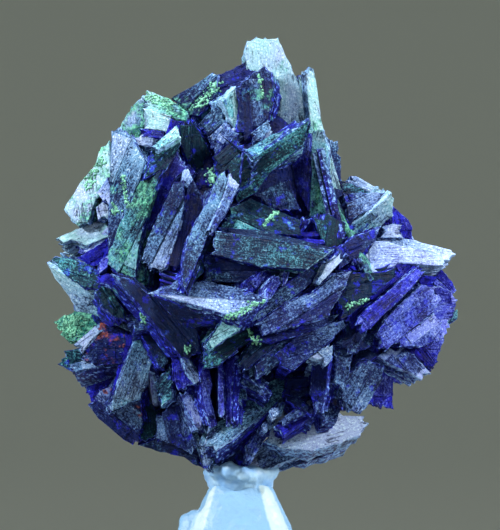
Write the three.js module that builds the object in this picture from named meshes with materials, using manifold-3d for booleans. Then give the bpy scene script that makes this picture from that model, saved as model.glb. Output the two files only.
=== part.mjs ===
// An azurite specimen: a rosette of tabular azurite crystals with malachite on it, held up by a
// lump of mineral tack on a tapered block. Millimetres, +Z up, the centre of the foot at the
// origin, the viewer on the -Y side.
import * as THREE from "three";
import { mergeVertices } from "three/addons/utils/BufferGeometryUtils.js";
import Module from "manifold-3d";

// Driving dimensions of the cluster
const middle = { x: 2, z: 54 };
const clusterDepth = 43;
const coreShare = { side: 0.78, front: 0.64, back: 0.76 };
const coreDetail = 3;
const tidyStep = 0.02;
const rootTaper = 0.66;
const rootOverlap = 1;

// Driving dimensions of the crystals on the sides and the back
const wallDirections = 72;
const wallStart = -0.32;
const bladeLength = [13, 19];
const bladeWidth = [6, 10];
const bladeThickness = [1.1, 2.1];
const slant = [0.6, 0.95];
const roll = [-0.9, 0.9];
const tipShare = 0.93;
const edgeTipShare = 0.87;
const rootShare = 0.74;

// Driving dimensions of the holder
const standHeight = 22.2;
const standTop = 8.6;
const standFoot = 27;
const standChamfer = 0.16;
const standLean = 1.5;
const gap = 0.35;

// Half of the tack's upright section, as [radius, z], from its flat underside to its crown
const tackHalf = [
  [0, 22.6], [4.1, 22.6], [4.9, 23.2], [5.1, 24], [4.6, 24.9], [3.3, 25.5], [1.6, 25.7], [0, 25.6],
];
const tackSides = 20;
const tackSqueeze = { front: 1.25, back: 1, lobes: 0.05 };

// Malachite balls on the left of the cluster, each with its centre and its radius
const malachite = [
  [[-24.4, -4.5, 44.6], 2.1],
  [[-25.3, -3, 45.4], 1.3],
  [[-22.9, -5, 45.6], 1.4],
];

// Outline of the cluster seen from the front, clockwise from the lower left, as [x, z]
const skyline = [
  [-26, 39.2], [-21.9, 34.5], [-20, 31.8], [-14.8, 27.5], [-8.5, 25.7], [-4, 24], [5, 24],
  [14, 27], [18, 31], [21.7, 32.8], [22.3, 36.3], [27.6, 38.8], [29.9, 45.2], [31.2, 47],
  [30, 55], [24.3, 59.6], [21.9, 62.5], [15.3, 65.8], [13.9, 71], [10.4, 81], [5.3, 85.6],
  [1, 85.2], [-4, 80.6], [-13.5, 78], [-17.2, 72.6], [-21.6, 67], [-25, 61.5], [-26.2, 57],
  [-27.6, 53.6], [-26.6, 45.2],
];

// The crystals that face the viewer. Each row is a name, the depth of its face towards the viewer
// at its middle, how much that depth falls to the right and upwards, its thickness, and its
// outline as [x, z].
const front = [
  ["crown", 4, 0.1, 0.1, 2, [[0.4, 83.4], [0.9, 85.2], [2.2, 85.8], [5.3, 85.7], [8, 80], [9.9, 74],
    [9.6, 69], [2.5, 67], [1.2, 76]]],
  ["needle", 6, 0.3, 0.1, 1.5, [[9.1, 80.8], [9.7, 81.5], [10.4, 81.1], [10.8, 78.5], [11.4, 74],
    [13.1, 68], [14.5, 63.5], [15.1, 60.5], [14.7, 59.3], [13, 59.6], [13.3, 62.5], [12, 67], [10, 72],
    [9.5, 76]]],
  ["pillar", 9, -0.25, 0.1, 1.8, [[9.8, 73], [11.6, 72.5], [12.4, 69.5], [12.2, 66.6], [12.9, 63],
    [12.4, 60.2], [11.2, 60.5], [10.4, 58.1], [9.6, 58.1], [9.2, 62], [8.3, 67.5]]],
  ["ridge_upper", 5, -0.2, 0.5, 1.8, [[-3.3, 80.5], [1, 82.6], [1.8, 81], [3, 77], [-2.6, 75],
    [-3.6, 78]]],
  ["ridge_lower", 5, -0.3, 0.5, 2, [[-10, 77.1], [-6.6, 79], [-4, 80.8], [-3.2, 80.5], [-3.4, 77.5],
    [-6, 74.5], [-8.6, 74.5]]],
  ["diamond", 9, -0.3, 0.1, 2.2, [[-0.8, 78.4], [1.8, 80.8], [3.3, 81.4], [4.3, 80.6], [4.7, 78],
    [3.9, 73.8], [1.6, 71.8], [0.5, 70.3], [-0.4, 73.5]]],
  ["diamond_rim", 8, 0.9, 0.2, 1.6, [[-2.7, 76.7], [-0.6, 78.7], [0.4, 76], [0.8, 71.5], [0.3, 70.2],
    [-0.3, 71.5], [-1.5, 74]]],
  ["roof_top", 13, 0.25, 0.8, 1.6, [[0.4, 69.4], [4.2, 71.8], [9.7, 73.9], [9, 72.2], [4, 69.8],
    [1.5, 67.9]]],
  ["roof_front", 14, 0.3, -0.35, 1.8, [[0.4, 69.2], [1.5, 68.3], [9.7, 73.7], [9, 70.3], [6.5, 68.2],
    [4, 66.2], [2.2, 63.4], [-0.4, 61.9], [-0.7, 62.6], [0, 65.5]]],
  ["dusk_column", 9, -0.4, 0.2, 1.6, [[6.9, 69.8], [9, 72], [9.9, 72], [9.7, 66], [9.4, 61], [8, 63.4],
    [7.2, 65.5]]],
  ["recess_leaf", 12, 0.15, 0.5, 1.2, [[1.8, 63.4], [2.9, 65.1], [4.6, 65.7], [6.9, 65.5], [8.6, 61],
    [4.5, 60.8]]],
  ["green_shelf", 15, 0.1, 0.6, 1.5, [[-3.2, 58.4], [-1.6, 61.5], [1.3, 62.9], [8.5, 59.7],
    [8.8, 57.5], [1, 57.6]]],
  ["plank", 19, 0.1, 0.12, 3, [[-3.9, 58.2], [6, 56.7], [12.9, 55.4], [11.8, 54.4], [9.5, 52.7],
    [3, 53], [-4.3, 54.9]]],
  ["plank_back", 17, 0.1, 0.5, 1.4, [[-3.4, 58.7], [3, 58.3], [13.2, 55.7], [12.4, 54.6],
    [-3.8, 56.8]]],
  ["under_plank", 18, 0.05, -0.2, 1.6, [[-5, 54.7], [-1, 53.9], [3.3, 52.6], [1.4, 50.9], [-0.4, 50.7],
    [-5.6, 50.8]]],
  ["grey_wing", 20, -0.1, 0.7, 1.5, [[-13.1, 49.4], [-9, 51.3], [-4, 51], [0.5, 50], [3.8, 48.7],
    [2, 47], [0, 46], [-2, 46.3], [-5, 47.2], [-9, 48.4]]],
  ["under_wing", 18, -0.1, -0.6, 1.2, [[-12.2, 48.8], [-2.2, 46], [-3.5, 44.6], [-6.6, 44.2],
    [-9, 45]]],
  ["spear", 18, 0.35, 0.15, 1.6, [[-18, 52.1], [-15.5, 51.4], [-12.8, 49.2], [-6.6, 47.1],
    [-5.9, 44.5], [-5.5, 40.9], [-7.3, 40.1], [-8.3, 40.3], [-12, 45]]],
  ["lance", 19, 0.25, 0.25, 1.3, [[-3, 66], [-2.2, 66.6], [-1.8, 65.3], [-2.4, 63.3], [-4.1, 58.4],
    [-5.6, 54.8], [-7.8, 49.5], [-8.2, 50.6], [-8.1, 53.5], [-7.5, 57], [-6, 60], [-4.6, 62.3]]],
  ["slab_a", 13, -0.15, 0.25, 1.4, [[-9.2, 69.8], [-7.5, 67.3], [-9.3, 65.2], [-11.4, 60.6],
    [-13.1, 58.2], [-14.1, 58.7], [-13.4, 61], [-11.8, 65.5], [-10.4, 68.5]]],
  ["slab_b", 16, -0.1, 0.2, 1.8, [[-9.4, 65], [-8.1, 65.3], [-7.8, 62], [-8.9, 57], [-10.3, 52.8],
    [-11.4, 52.3], [-13, 52.8], [-14, 54], [-13.2, 57], [-11.7, 60.3]]],
  ["slab_c", 15, 0.55, 0.15, 1.6, [[-6.7, 65.5], [-5.1, 62.9], [-5.2, 61.4], [-6.4, 58], [-7.6, 54],
    [-9.2, 52.5], [-10.4, 53], [-8.9, 57.5], [-8, 62.5]]],
  ["shadow_sail", 10, 0.5, -0.2, 1.5, [[-8.7, 73.2], [-7.1, 74], [-6, 72.4], [-4.8, 70.5], [-4.1, 69],
    [-5.2, 67.9], [-5.2, 64.2], [-6.1, 64.6], [-7.4, 67.5], [-8.7, 70.5]]],
  ["teal_slab", 13, 0.1, 0.3, 2, [[-4, 68.6], [-0.5, 71.8], [0.5, 70.4], [0.7, 66], [-0.6, 64],
    [-1.9, 66.8], [-3.2, 65.6], [-3.7, 67.2]]],
  ["cap_top", 8, -0.2, 0.6, 3, [[-14.2, 77.3], [-13.4, 78.2], [-10.2, 77], [-7.6, 75.1], [-7.2, 73.6],
    [-10, 74.3], [-13.9, 75.3]]],
  ["far_left_back", 4, -0.4, 0.1, 3.2, [[-14, 77.5], [-15.7, 75.9], [-17, 73.6], [-17.4, 72.7],
    [-15, 70.5], [-13.4, 73.5]]],
  ["tall_slab", 11, -0.45, 0.2, 2, [[-18.4, 72.3], [-17.3, 72.8], [-15.5, 71.8], [-13.4, 67.9],
    [-14.2, 65.2], [-16.8, 59], [-18.9, 54.9], [-18.8, 61], [-18.6, 67]]],
  ["left_wing", 5, -0.35, 0.35, 1.6, [[-18.8, 71.1], [-20, 70.1], [-20.6, 67.8], [-23, 65],
    [-24.9, 62], [-25.2, 61.2], [-24.2, 59.6], [-23.1, 58.8], [-21.7, 59.2], [-20.6, 62.5],
    [-18, 64.5]]],
  ["left_prong", 5, -0.2, 0.45, 1.5, [[-26.4, 57.1], [-23.5, 58.5], [-19.2, 60.1], [-17.8, 57.6],
    [-21.8, 56], [-24.2, 56.9], [-25.4, 56.4]]],
  ["left_wedge_top", 9, -0.45, 0.5, 1.6, [[-27.7, 53.7], [-26.4, 54.6], [-24.3, 54.4], [-21, 53.3],
    [-19.6, 52], [-19.8, 49.8], [-22.3, 50.1], [-25, 51.7]]],
  ["left_wedge_face", 9, -0.45, -0.35, 5.5, [[-27.6, 53.5], [-22.2, 50.3], [-20.2, 50.3], [-19.8, 48],
    [-17.3, 45.6], [-16, 43.9], [-20.5, 46], [-23.4, 46.6], [-24.3, 48.5], [-26.4, 51.2]]],
  ["green_tip", 15, -0.25, 0.15, 1.8, [[-14.2, 65.1], [-11, 66.8], [-12, 64.6], [-13.4, 60],
    [-14.3, 56], [-14.9, 51.6], [-15.8, 51.1], [-17.6, 52.1], [-18.8, 53.4], [-18.8, 54.5],
    [-17, 59.5]]],
  ["fold_face", 13, 0.35, 0.35, 1.4, [[-13.6, 65.4], [-12.5, 69.6], [-8.7, 73.4], [-8.4, 70.4],
    [-9.2, 68.6], [-10.4, 66.8]]],
  ["right_leaf", 9, 0.3, 0.2, 1.4, [[14.6, 63.4], [17, 63.7], [21.3, 63.6], [19.8, 61.6], [15, 59.4]]],
  ["right_leaf_low", 9, 0.45, -0.3, 1.5, [[21.4, 63.5], [21.8, 62.6], [21.7, 60.2], [19.9, 58.8],
    [17.5, 57.6], [14, 55.8], [14.4, 58.2], [17.9, 60.6]]],
  ["right_stripes", 13, 0.6, 0.3, 1.8, [[13.4, 55.6], [16, 57.4], [20, 58.9], [19.2, 56.8], [17, 54.6],
    [14, 52.8], [13.2, 53.8]]],
  ["big_lilac_back", 7, 0.3, 0.5, 1.6, [[19.3, 57.2], [20.3, 57.7], [24.5, 57], [29.9, 55.5],
    [30.6, 54.9], [28.6, 53], [24, 53.4], [19, 55.6]]],
  ["big_lilac", 10, 0.3, 0.4, 1.8, [[18.7, 56.9], [20.5, 56.7], [24, 55.9], [27, 55.1], [28.8, 53.3],
    [27.5, 53.2], [25.5, 53.4], [22.2, 53.6], [21.4, 52.8], [20.3, 52.2], [16, 52.2], [17.4, 54.8]]],
  ["cliff_dark", 15, 0.45, 0.1, 1.5, [[14.2, 52.2], [20.5, 52.4], [22, 53.1], [22.1, 51.8],
    [17.8, 48.3], [15.5, 46.2], [14.2, 45.6], [13.6, 48.5], [14.6, 50.2]]],
  ["cliff_blue", 11, 0.5, 0.3, 1.4, [[21.9, 53.8], [25.4, 54], [26, 52.8], [22, 50.2], [19, 47.8],
    [17.7, 48.4], [20, 50.5], [22, 52]]],
  ["white_edge", 14, 0.45, 0.2, 1.5, [[16.3, 44.9], [17.2, 43.8], [18.3, 44.3], [20.3, 46.4],
    [24.3, 50.1], [26.2, 52.5], [25.3, 53.3], [22.4, 51], [18, 47.4], [16.7, 46]]],
  ["speckle_blade", 12, 0.5, 0.2, 1.8, [[19.9, 41.6], [20.5, 41.2], [22.5, 42.9], [27.3, 46.5],
    [28.6, 48.6], [27.6, 50.3], [25.6, 50.6], [22.2, 47.6], [20.2, 45.6], [19.2, 43.6]]],
  ["speckle_under", 10, 0.5, 0.1, 3.2, [[21.4, 42.2], [27.4, 46.6], [28.6, 45.2], [28.2, 42.5],
    [25.2, 41.6], [22.4, 41.7]]],
  ["fan_outer", 5.5, 0.3, 0, 3, [[18, 49], [28.4, 50.3], [30, 49.6], [30.9, 48.3], [30.3, 46],
    [29.8, 44.4], [28.4, 41], [27.9, 39.6], [26.4, 40.4], [19, 43]]],
  ["low_right_a", 9, 0.4, 0.2, 1.6, [[19.4, 40.4], [20.6, 41.6], [22.8, 41.8], [24.6, 40.7],
    [27.1, 37.9], [25.7, 37], [24.4, 37.8], [21, 39.3]]],
  ["oval_leaf", 13, 0.35, -0.15, 6, [[16.8, 39.5], [18.2, 39.9], [20.3, 39], [20.2, 37.2],
    [19.4, 35.9], [17.8, 33.1], [16.9, 32.2], [15.2, 32.4], [14, 34.5], [14.2, 36.5], [15.3, 38.1]]],
  ["tail_wedge", 7, 0.5, -0.2, 4.5, [[16, 42], [20.4, 40], [22, 38.2], [21.7, 36], [21.8, 32.7],
    [20, 32.7], [18, 33.3], [16, 37]]],
  ["keel", 7, 0.15, 0.4, 3, [[3.4, 28.4], [5.8, 27.2], [10, 26.9], [13.8, 27.9], [17, 29.1],
    [17.5, 30.1], [18.2, 30.9], [17.6, 31.9], [14.5, 32], [12, 35], [5, 33]]],
  ["keel_low", 5, 0.1, 0.3, 1.8, [[0.7, 24.7], [1.8, 23.9], [4.5, 24.5], [10.4, 26.9], [9.5, 28.2],
    [5.8, 28.6], [3, 28], [1.4, 26.6]]],
  ["keel_under", 3, 0.2, -0.5, 1.6, [[4, 23.6], [6.4, 24], [10.5, 25.4], [13.2, 26.3], [14, 27.9],
    [12, 29.5], [9.8, 28.2], [4.2, 25.6]]],
  ["rib_a", 18, 0.15, 0.15, 1.2, [[1.6, 45.3], [2.6, 44.9], [9.8, 50.6], [10.8, 52.2], [9.6, 53],
    [3.5, 48.6], [2, 46.8]]],
  ["rib_b", 18, 0.2, 0.25, 1.8, [[2, 45], [6.5, 48], [10.5, 49.6], [13.2, 51.9], [15.6, 52.5],
    [14.9, 50.4], [13.6, 48.3], [12.5, 46.2], [7.5, 44.6], [3.2, 43.5]]],
  ["rib_c", 17, 0.15, 0.3, 1, [[0.6, 42.8], [3.2, 44.2], [8, 45.2], [13.8, 46.4], [13.4, 45.4],
    [8.4, 43.5], [4.5, 42.4]]],
  ["rib_d", 17, 0.2, 0.3, 1.4, [[7, 38.4], [11.3, 41.5], [15.1, 45], [14.7, 45.7], [8.6, 44],
    [4.8, 40.8], [5.4, 39.2]]],
  ["rib_e", 17, 0.1, 0.2, 1.3, [[2.2, 37.2], [5.4, 39.4], [8.3, 42.1], [8.5, 43.9], [7.6, 44.2],
    [4.8, 42], [2, 39.2]]],
  ["speckle_rib", 19, 0.05, 0.3, 1.4, [[-5, 42], [-2.6, 45.7], [-1.2, 46.4], [3.4, 48.8], [2.2, 46.6],
    [-0.2, 44.1], [-2.5, 42.6], [-4.5, 41.2]]],
  ["teal_rib", 18, 0.05, 0.1, 1.5, [[-5.3, 41.9], [-0.2, 44.4], [1.2, 44.5], [3, 43.3], [0.3, 42],
    [-3.2, 39], [-5.4, 38.6]]],
  ["olive_plate", 13, 0.45, 0.1, 1.5, [[10.2, 59.9], [12.4, 60.6], [14.9, 59.3], [14.4, 56],
    [13.5, 54.2], [12, 55.6], [11, 57.6]]],
  ["ledge", 12, 0.05, 0.55, 1.6, [[-5.2, 28.1], [-3.4, 27.5], [-1.2, 28.9], [5, 33.6], [9.5, 37.1],
    [7, 38.2], [4.3, 37], [0.5, 34.4], [-1.8, 31.8], [-4.6, 30.6]]],
  ["ledge_side", 10, 0.1, -0.5, 1.2, [[-2.9, 25.9], [-2.2, 25.9], [0.2, 28.3], [3, 30.8], [5.2, 33.8],
    [3, 32.6], [-0.6, 30], [-3, 28.2]]],
  ["ledge_stub", 7, 0, 0.2, 1.6, [[-3.6, 25], [-2.4, 27.4], [0.6, 28], [1.6, 26.8], [0.6, 24.6],
    [-1, 24.2]]],
  ["blue_shield", 14, -0.2, 0.2, 1.4, [[-10, 41.2], [-9.3, 41.9], [-7.6, 40], [-6.7, 37.4],
    [-6.2, 36.5], [-8, 35.8], [-8.9, 35.7], [-9.8, 37.1]]],
  ["tall_left", 11, 0.3, 0.15, 1.4, [[-14.5, 44.2], [-13.4, 43.7], [-12.4, 40], [-13, 36.5],
    [-14.2, 34.3], [-17.9, 32.8], [-18.3, 33.6], [-16.3, 39.5]]],
  ["brown_plate", 8, -0.35, 0.2, 1.5, [[-20, 45.2], [-17.2, 44.8], [-15.8, 43.4], [-16.4, 41],
    [-16.9, 39.4], [-20.7, 39], [-22.8, 40], [-22.9, 41.4], [-21.2, 43]]],
  ["green_nest", 4, -0.3, 0.2, 2.4, [[-26.8, 45.2], [-25.3, 46.1], [-23.3, 46.9], [-17, 47], [-16, 43],
    [-20.8, 42.5], [-24.4, 42.2], [-25.8, 43.4]]],
  ["foot_prong", 5, -0.4, 0.3, 2, [[-25.3, 41.1], [-23, 41.6], [-15, 41.5], [-15, 38.5], [-22, 38.8],
    [-24.4, 38.3], [-26.2, 39.2]]],
  ["rough_cheek", 7, -0.3, -0.25, 2, [[-21.8, 33.4], [-20.2, 35.6], [-18, 36.4], [-14.2, 34.8],
    [-13.8, 31], [-14.4, 28], [-15.4, 27.7], [-16.7, 28.4], [-20.4, 31.5]]],
  ["rust_cheek", 4, -0.5, 0, 1.8, [[-22.2, 38.3], [-18.6, 39], [-17.8, 36.3], [-19.2, 34.6],
    [-21.5, 33], [-22.2, 35]]],
  ["dusk_face", 9, -0.1, -0.2, 1.6, [[-12, 32], [-10.4, 33.2], [-8.2, 34.8], [-7.2, 30.5], [-6, 27.6],
    [-7, 26.4], [-9, 27.4], [-12.3, 28.7]]],
  ["hull_rim", 5, -0.1, -0.6, 1.8, [[-14.7, 27.6], [-12.3, 28.6], [-8.6, 28.4], [-6, 26.6],
    [-5.2, 24.2], [-6.6, 24.8], [-8, 25.9], [-11.5, 26.6]]],
  ["olive_pocket", 6, 0.1, 0.1, 1.4, [[-14.6, 32.4], [-13, 33.8], [-11.4, 33], [-11.2, 29],
    [-13.4, 28.2], [-14.6, 28.4]]],
  ["strut_plate", 15, -0.4, 0.1, 1.3, [[9.9, 40], [12.6, 40.6], [12.1, 36], [11.3, 32.5], [10.4, 32.3],
    [9.6, 35]]],];

const wasm = await Module();
wasm.setup();

// A closed geometry as a solid that can be joined and cut
function solidFrom(geometry) {
  const bare = geometry.clone();
  bare.deleteAttribute("normal");
  bare.deleteAttribute("uv");
  const merged = mergeVertices(bare, 1e-3);
  return new wasm.Manifold(
    new wasm.Mesh({
      numProp: 3,
      vertProperties: new Float32Array(merged.attributes.position.array),
      triVerts: new Uint32Array(merged.index.array),
    }),
  );
}

// A solid as a geometry that a mesh can show
function geometryFrom(solid) {
  const mesh = solid.getMesh();
  const geometry = new THREE.BufferGeometry();
  geometry.setAttribute("position", new THREE.BufferAttribute(mesh.vertProperties, 3));
  geometry.setIndex(new THREE.BufferAttribute(mesh.triVerts, 1));
  geometry.computeVertexNormals();
  return geometry;
}

// Repeatable random numbers from 0 to 1
let draw = 20011;
function random() {
  draw = (draw * 16807) % 2147483647;
  return draw / 2147483647;
}

function between([low, high]) {
  return low + (high - low) * random();
}

// How far the skyline is from the middle along a unit direction in the front view
function reach(dx, dz) {
  let far = 0;
  skyline.forEach(([ax, az], i) => {
    const [bx, bz] = skyline[(i + 1) % skyline.length];
    const ex = bx - ax;
    const ez = bz - az;
    const cross = dx * ez - dz * ex;
    if (Math.abs(cross) < 1e-9) return;
    const along = ((ax - middle.x) * ez - (az - middle.z) * ex) / cross;
    const share = ((ax - middle.x) * dz - (az - middle.z) * dx) / cross;
    if (along > 0 && share >= 0 && share <= 1) far = Math.max(far, along);
  });
  return far;
}

// The point of the cluster's rounded form along a direction, at one share of its size sideways
// and another from front to back
function onForm(direction, sideShare, depthShare = sideShare) {
  const flat = Math.hypot(direction.x, direction.z);
  const side = flat > 1e-6 ? reach(direction.x / flat, direction.z / flat) : 0;
  return new THREE.Vector3(
    middle.x + direction.x * side * sideShare,
    (direction.y * depthShare * clusterDepth) / 2,
    middle.z + direction.z * side * sideShare,
  );
}

// How far the core comes towards the viewer behind a point of the front view, 0 outside it
function coreDepth(x, z) {
  const away = Math.hypot(x - middle.x, z - middle.z);
  const share = away / reach((x - middle.x) / away, (z - middle.z) / away) / coreShare.side;
  return share < 1 ? ((coreShare.front * clusterDepth) / 2) * Math.sqrt(1 - share * share) : 0;
}

// The plate of one outline, lying behind the plane of a matrix, its back drawn in to a share of
// its size about a centre
function plate(outline, thickness, matrix, taper = 1, centre = [0, 0]) {
  const shape = new THREE.Shape(outline.map(([u, v]) => new THREE.Vector2(u, v)));
  const geometry = new THREE.ExtrudeGeometry(shape, { depth: thickness, bevelEnabled: false });
  const place = geometry.attributes.position;
  for (let i = 0; i < place.count; i++) {
    const size = place.getZ(i) < thickness / 2 ? taper : 1;
    const u = centre[0] + (place.getX(i) - centre[0]) * size;
    const v = centre[1] + (place.getY(i) - centre[1]) * size;
    place.setXYZ(i, u, v, place.getZ(i) - thickness);
  }
  return solidFrom(geometry.applyMatrix4(matrix));
}

// The rounded mass of crystal and rock that the blades grow from
function core() {
  const geometry = new THREE.IcosahedronGeometry(1, coreDetail);
  const place = geometry.attributes.position;
  for (let i = 0; i < place.count; i++) {
    const direction = new THREE.Vector3().fromBufferAttribute(place, i).normalize();
    const depthShare = direction.y < 0 ? coreShare.front : coreShare.back;
    const point = onForm(direction, coreShare.side, depthShare);
    place.setXYZ(i, point.x, point.y, point.z);
  }
  return solidFrom(geometry);
}

// A crystal of the front. One that stands well in front of the core narrows down to it.
function frontBlade([, depth, fallRight, fallUp, thickness, outline]) {
  const midX = outline.reduce((sum, point) => sum + point[0], 0) / outline.length;
  const midZ = outline.reduce((sum, point) => sum + point[1], 0) / outline.length;
  const matrix = new THREE.Matrix4().makeBasis(
    new THREE.Vector3(1, fallRight, 0),
    new THREE.Vector3(0, fallUp, 1),
    new THREE.Vector3(fallRight, -1, fallUp).normalize(),
  );
  matrix.setPosition(0, -depth - fallRight * midX - fallUp * midZ, 0);
  const inner = coreDepth(midX, midZ) - rootOverlap;
  const rooted = inner > 0 && depth - thickness > inner;
  const long = rooted ? depth - inner : thickness;
  return plate(outline, long, matrix, rooted ? rootTaper : 1, [midX, midZ]);
}

// A random direction square to another
function across(direction) {
  const any = new THREE.Vector3(random() - 0.5, random() - 0.5, random() - 0.5);
  return any.addScaledVector(direction, -any.dot(direction)).normalize();
}

// A crystal of the sides or the back: a slab with a slanted tip
function wallBlade(outward) {
  const turned = outward.clone().applyAxisAngle(across(outward), between(slant));
  const flatness = Math.min(1, Math.abs(outward.y) * 2);
  const tip = onForm(outward, edgeTipShare + (tipShare - edgeTipShare) * flatness);
  const axis = tip.clone().sub(onForm(turned, rootShare)).normalize();
  const length = between(bladeLength);
  const width = between(bladeWidth);
  const thickness = between(bladeThickness);
  const face = outward.clone().addScaledVector(axis, -outward.dot(axis)).normalize();
  face.applyAxisAngle(axis, between(roll));
  const side = new THREE.Vector3().crossVectors(face, axis);
  const outline = [
    [-length, -0.35 * width],
    [-length * between([0.15, 0.4]), -0.5 * width],
    [0, between([-0.3, 0.2]) * width],
    [-0.2 * length, 0.5 * width],
    [-length, 0.35 * width],
  ];
  const matrix = new THREE.Matrix4().makeBasis(axis, side, face);
  return plate(outline, thickness, matrix.setPosition(tip));
}

// Crystals all over the sides and the back, on a spiral of directions from top to bottom
function wall() {
  const golden = Math.PI * (3 - Math.sqrt(5));
  const made = [];
  for (let i = 0; i < wallDirections; i++) {
    const up = 1 - (2 * i + 1) / wallDirections;
    const round = Math.sqrt(1 - up * up);
    const outward = new THREE.Vector3(Math.cos(golden * i) * round, Math.sin(golden * i) * round, up);
    if (outward.y > wallStart) made.push(wallBlade(outward));
  }
  return made;
}

// A small ball of malachite with a lumpy surface
function malachiteBall([centre, radius]) {
  const geometry = new THREE.IcosahedronGeometry(radius, 1);
  const place = geometry.attributes.position;
  for (let i = 0; i < place.count; i++) {
    const lump = 1 + 0.12 * Math.sin(5 * place.getX(i) + 3 * place.getZ(i)) * Math.cos(4 * place.getY(i));
    place.setXYZ(i, place.getX(i) * lump, place.getY(i) * lump, place.getZ(i) * lump);
  }
  geometry.translate(...centre);
  return solidFrom(geometry);
}

// The kneaded lump that grips the cluster's foot, grown all over by a margin
function tack(margin) {
  const half = tackHalf.map(([radius, z], i) => {
    const last = i === 0 || i === tackHalf.length - 1;
    return new THREE.Vector2(last ? 0 : radius + margin, z + margin * Math.sign(z - 23.5));
  });
  const geometry = new THREE.LatheGeometry(half, tackSides);
  geometry.rotateX(Math.PI / 2);
  const place = geometry.attributes.position;
  for (let i = 0; i < place.count; i++) {
    const turn = Math.atan2(place.getY(i), place.getX(i));
    const lobe = 1 + tackSqueeze.lobes * Math.sin(3 * turn + 1);
    const long = place.getY(i) < 0 ? tackSqueeze.front : tackSqueeze.back;
    place.setXYZ(i, place.getX(i) * lobe, place.getY(i) * lobe * long - standLean, place.getZ(i));
  }
  return solidFrom(geometry);
}

// The tapered block with chamfered corners, its foot on the ground
function block() {
  const half = standFoot / 2;
  const flat = half - standFoot * standChamfer;
  const shape = new THREE.Shape([
    new THREE.Vector2(half, -flat),
    new THREE.Vector2(half, flat),
    new THREE.Vector2(flat, half),
    new THREE.Vector2(-flat, half),
    new THREE.Vector2(-half, flat),
    new THREE.Vector2(-half, -flat),
    new THREE.Vector2(-flat, -half),
    new THREE.Vector2(flat, -half),
  ]);
  const geometry = new THREE.ExtrudeGeometry(shape, { depth: standHeight, bevelEnabled: false });
  const place = geometry.attributes.position;
  for (let i = 0; i < place.count; i++) {
    const up = place.getZ(i) / standHeight;
    const size = 1 + (standTop / standFoot - 1) * up;
    place.setXYZ(i, place.getX(i) * size, place.getY(i) * size - standLean * up, place.getZ(i));
  }
  geometry.computeVertexNormals();
  return geometry;
}

// The grown cluster, hollowed where the tack grips it
function cluster() {
  const pieces = [core(), ...front.map(frontBlade), ...wall(), ...malachite.map(malachiteBall)];
  const whole = wasm.Manifold.union(pieces).subtract(tack(gap));
  const bodies = whole.decompose();
  bodies.sort((a, b) => b.volume() - a.volume());
  return bodies[0].simplify(tidyStep);
}

// A named mesh with its own material
function part(name, geometry, colour, roughness) {
  const material = new THREE.MeshStandardMaterial({ color: colour, roughness, metalness: 0 });
  const mesh = new THREE.Mesh(geometry, material);
  mesh.name = name;
  return mesh;
}

const specimen = new THREE.Group();
specimen.add(part("azurite_cluster", geometryFrom(cluster()), 0x26338c, 0.45));
specimen.add(part("mineral_tack", geometryFrom(tack(0)), 0xb4dcf0, 0.5));
specimen.add(part("stand", block(), 0x86b9e6, 0.4));

export default specimen;
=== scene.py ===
# An azurite specimen: a rosette of tabular azurite crystals with malachite on it, held up by a
# lump of mineral tack on a tapered block. Millimetres in the lists, metres in the meshes, +Z up,
# the viewer on the -Y side.
import math
import random

import bpy
from mathutils import Matrix, Vector, noise
from mathutils.bvhtree import BVHTree


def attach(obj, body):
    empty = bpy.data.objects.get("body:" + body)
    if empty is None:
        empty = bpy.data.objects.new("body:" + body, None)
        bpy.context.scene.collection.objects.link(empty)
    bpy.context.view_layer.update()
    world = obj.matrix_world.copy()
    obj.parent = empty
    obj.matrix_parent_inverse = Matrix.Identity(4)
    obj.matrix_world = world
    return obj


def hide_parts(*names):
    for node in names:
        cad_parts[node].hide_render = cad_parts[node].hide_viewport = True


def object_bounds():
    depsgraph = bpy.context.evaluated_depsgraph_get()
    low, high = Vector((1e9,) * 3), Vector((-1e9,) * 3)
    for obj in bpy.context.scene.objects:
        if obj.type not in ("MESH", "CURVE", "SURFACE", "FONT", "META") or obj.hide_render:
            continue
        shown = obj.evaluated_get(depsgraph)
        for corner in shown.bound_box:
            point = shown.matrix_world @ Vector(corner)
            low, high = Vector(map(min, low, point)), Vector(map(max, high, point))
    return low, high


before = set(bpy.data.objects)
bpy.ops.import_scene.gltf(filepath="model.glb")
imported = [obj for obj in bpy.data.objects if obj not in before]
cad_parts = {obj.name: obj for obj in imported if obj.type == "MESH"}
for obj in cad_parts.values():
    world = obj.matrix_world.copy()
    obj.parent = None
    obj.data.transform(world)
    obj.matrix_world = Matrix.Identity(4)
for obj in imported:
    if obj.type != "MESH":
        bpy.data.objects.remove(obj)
cad_box = [list(corner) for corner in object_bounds()]
MM = 0.001


# The stand: a tapered block of pale blue putty with chamfered corners, pressed by hand, leaning a
# little towards the viewer. It carries the tack and stands on its flat foot. A row of dents is how
# many patches go to a metre, their depth and their seed.
STAND_HEIGHT = 22.2
STAND_TOP = 8.6
STAND_FOOT = 27
STAND_CHAMFER = 0.16
STAND_ROUNDING = 0.9
STAND_LEAN = 1.5
STAND_LUMPS = (((-6.6, -3.9, 17.3), 1.3), ((-7.3, -3.7, 16.5), 1.6), ((-7.4, -4.0, 15.4), 1.7),
               ((-7.6, -4.4, 14.2), 1.5))
STAND_DENTS = ((160, 0.30, 3), (600, 0.13, 8))
FLAT_FOOT = 0.6
FACE_SHARE = 0.68
FACE_BLUE = (0.13, 0.26, 0.41)
# The chamfers' paler blue is partly the putty's own colour and partly a painted highlight where
# the side lamps fall.
CHAMFER_BLUE_AND_HIGHLIGHT = (0.29, 0.39, 0.42)


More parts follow.
